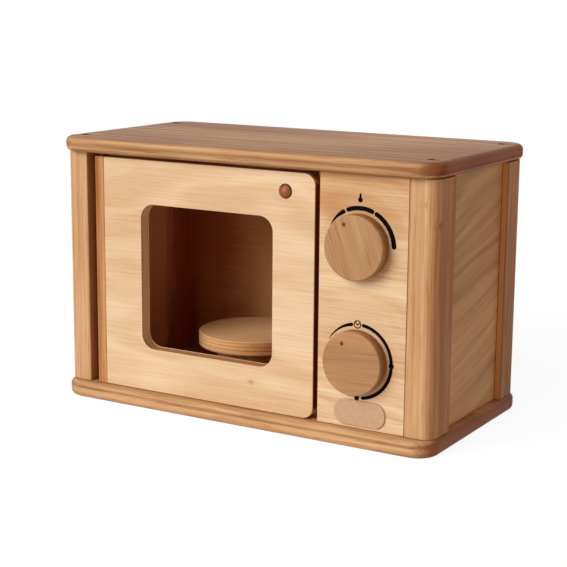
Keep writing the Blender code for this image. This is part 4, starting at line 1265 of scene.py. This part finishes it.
class MICROWAVE_OT_screws(Step, bpy.types.Operator):
    """Make the eight corner screws with their low round heads and six-sided sockets"""

    bl_idname = "microwave.screws"
    bl_label = "Corner screws"

    HEAD_HEIGHT = 0.0024
    HEAD_ROUNDING = 0.0018
    SHANK_RADIUS = 0.002

    def execute(self, context):
        for where, inwards in (("bottom", 1), ("top", -1)):
            for corner in CORNERS:
                self.screw(f"{where}_screw_{corner}", inwards)
        return {"FINISHED"}

    def screw(self, node, inwards):
        """One screw, with its head on the board's outside and its shank pointing inwards."""
        setting = sizes()
        low, high, middle, radius = round_node(node)
        top, tip = (low.z, high.z) if inwards > 0 else (high.z, low.z)
        seat = top + self.HEAD_HEIGHT * inwards
        socket_floor = top + setting.socket_depth * inwards
        socket = self.socket_outline(middle, setting.socket_radius)
        dome = quarter_round(self.HEAD_ROUNDING, EDGE_STEPS)
        rings = [(radius - inset, top + depth * inwards) for inset, depth in dome]
        shank = self.SHANK_RADIUS
        rings += [(radius, seat), (shank, seat), (shank, tip - shank * inwards)]
        loops = [loop_at([middle.xy], Z_AXIS, socket_floor)]
        loops += wall_between(socket, Z_AXIS, socket_floor, top)
        loops += [loop_at(circle(*middle.xy, reach), Z_AXIS, level) for reach, level in rings]
        loops.append(loop_at([middle.xy], Z_AXIS, tip))
        mesh = bmesh.new()
        add_band(mesh, loops)
        dress_node(node, mesh, "bronzed_steel", "cabinet")

    def socket_outline(self, middle, flat):
        """A six-sided outline with as many points as the head's circles."""
        sector = math.tau / HEX_SIDES
        points = []
        for step in range(SMALL_TURN_STEPS):
            turn = math.tau * step / SMALL_TURN_STEPS
            reach = flat / math.cos(turn % sector - sector / 2)
            points.append(middle.xy + Vector((math.cos(turn), math.sin(turn))) * reach)
        return points


class MICROWAVE_OT_stage(Step, bpy.types.Operator):
    """Lay the pale floor, set the soft studio light and aim the camera"""

    bl_idname = "microwave.stage"
    bl_label = "Floor, light and camera"

    FLOOR_REACH = 30.0
    FLOOR_COLOUR = (0.17, 0.18, 0.19, 1)
    FLOOR_BOUNCE = (0.82, 0.82, 0.82, 1)
    FLOOR_GLOW = (0.91, 0.92, 0.93, 1)
    NO_GLOW = (0, 0, 0, 1)
    WHITE = (1, 1, 1, 1)
    KEY_TURN = math.radians(-25)
    KEY_RISE = math.radians(27)
    KEY_SPREAD = math.radians(44)
    CLIP = (0.01, 100.0)

    def execute(self, context):
        scene = context.scene
        scene.view_settings.view_transform = "Standard"
        self.floor(scene)
        self.world(scene)
        self.key_light(scene)
        self.camera(scene)
        return {"FINISHED"}

    def floor(self, scene):
        """A wide pale floor that looks white and still takes the object's shadow."""
        reach = self.FLOOR_REACH
        mesh = bmesh.new()
        corners = ((-reach, -reach), (reach, -reach), (reach, reach), (-reach, reach))
        mesh.faces.new([mesh.verts.new((x, y, 0)) for x, y in corners])
        data = bpy.data.meshes.new("floor")
        mesh.to_mesh(data)
        mesh.free()
        graph = Graph(bpy.data.materials.new("pale_floor"))
        graph.nodes.remove(graph.nodes["Principled BSDF"])
        seen = self.seen_directly(graph, self.FLOOR_BOUNCE, self.FLOOR_COLOUR)
        diffuse = graph.add("BsdfDiffuse", {"Color": seen})
        glow = graph.add("Emission", {"Color": self.seen_directly(graph, self.NO_GLOW, self.FLOOR_GLOW)})
        both = graph.add("AddShader", {0: diffuse, 1: glow})
        graph.fill(graph.nodes["Material Output"], {"Surface": both})
        data.materials.append(graph.owner)
        floor = bpy.data.objects.new("floor", data)
        scene.collection.objects.link(floor)

    def seen_directly(self, graph, unseen, seen):
        """One colour for light that falls on things, another for what the eye, a gloss or a glass shows."""
        total = 0.0
        for kind in ("Is Camera Ray", "Is Glossy Ray", "Is Transmission Ray"):
            total = graph.maths("MAXIMUM", total, graph.add("LightPath", output=kind))
        return graph.mixed(total, unseen, seen)

    def world(self, scene):
        """White to look at, and a weak even light on the object."""
        scene.world = bpy.data.worlds.new("studio")
        graph = Graph(scene.world)
        colour = self.seen_directly(graph, (*stage_settings().air, 1), self.WHITE)
        graph.fill(graph.nodes["Background"], {"Color": colour})

    def direction(self, turn, rise):
        """The way from the object to a turn to the right of straight on and a rise above level."""
        level = math.cos(rise)
        return Vector((math.sin(turn) * level, -math.cos(turn) * level, math.sin(rise)))

    def key_light(self, scene):
        """A wide, soft light from the front left, above the floor."""
        light = bpy.data.lights.new("key_light", "SUN")
        light.energy = stage_settings().key_strength
        light.angle = self.KEY_SPREAD
        lamp = bpy.data.objects.new("key_light", light)
        scene.collection.objects.link(lamp)
        towards = self.direction(self.KEY_TURN, self.KEY_RISE)
        lamp.rotation_mode = "QUATERNION"
        lamp.rotation_quaternion = towards.to_track_quat("Z", "Y")
        lamp.location = towards

    def camera(self, scene):
        """The camera, at the photograph's place and angle."""
        setting = stage_settings()
        data = bpy.data.cameras.new("camera")
        data.lens = setting.lens
        data.clip_start, data.clip_end = self.CLIP
        camera = bpy.data.objects.new("camera", data)
        scene.collection.objects.link(camera)
        back = self.direction(setting.camera_turn, setting.camera_tilt)
        right = self.direction(setting.camera_turn + math.pi / 2, 0)
        level = Matrix((right, back.cross(right), back)).transposed().to_4x4()
        roll = Matrix.Rotation(setting.camera_roll, 4, "Z")
        camera.matrix_world = Matrix.Translation(setting.camera_place) @ level @ roll
        scene.camera = camera


class MICROWAVE_PT_steps(bpy.types.Panel):
    """The steps that dress the toy microwave, and their settings"""

    bl_idname = "MICROWAVE_PT_steps"
    bl_label = "Toy Microwave"
    bl_space_type = "VIEW_3D"
    bl_region_type = "UI"
    bl_category = "Toy Microwave"

    def draw(self, context):
        column = self.layout.column(align=True)
        for operator in OPERATORS:
            column.operator(operator.bl_idname)
        groups = {"Colours": colours(), "Sizes": sizes(), "Camera and light": stage_settings()}
        for title, settings in groups.items():
            box = self.layout.box()
            box.label(text=title)
            for setting in settings.bl_rna.properties:
                if setting.identifier not in ("rna_type", "name"):
                    box.prop(settings, setting.identifier)


OPERATORS = (
    MICROWAVE_OT_boards,
    MICROWAVE_OT_posts,
    MICROWAVE_OT_thin_panels,
    MICROWAVE_OT_control_panel,
    MICROWAVE_OT_badge,
    MICROWAVE_OT_door,
    MICROWAVE_OT_catch,
    MICROWAVE_OT_dials,
    MICROWAVE_OT_turntable,
    MICROWAVE_OT_screws,
    MICROWAVE_OT_stage,
)
SETTING_GROUPS = {
    "microwave_colours": MicrowaveColours,
    "microwave_sizes": MicrowaveSizes,
    "microwave_stage": MicrowaveStage,
}


def register():
    """Adds the settings, the operators and the panel."""
    for name, group in SETTING_GROUPS.items():
        bpy.utils.register_class(group)
        setattr(bpy.types.Scene, name, bpy.props.PointerProperty(type=group))
    for operator in OPERATORS:
        bpy.utils.register_class(operator)
    bpy.utils.register_class(MICROWAVE_PT_steps)


def unregister():
    """Takes the settings, the operators and the panel away again."""
    bpy.utils.unregister_class(MICROWAVE_PT_steps)
    for operator in reversed(OPERATORS):
        bpy.utils.unregister_class(operator)
    for name, group in SETTING_GROUPS.items():
        delattr(bpy.types.Scene, name)
        bpy.utils.unregister_class(group)


def main():
    """Runs every step in order and notes the size of the built and of the dressed object."""
    register()
    for operator in OPERATORS:
        step = operator.bl_idname.split(".")[1]
        getattr(bpy.ops.microwave, step)()


if __name__ == "__main__":
    main()
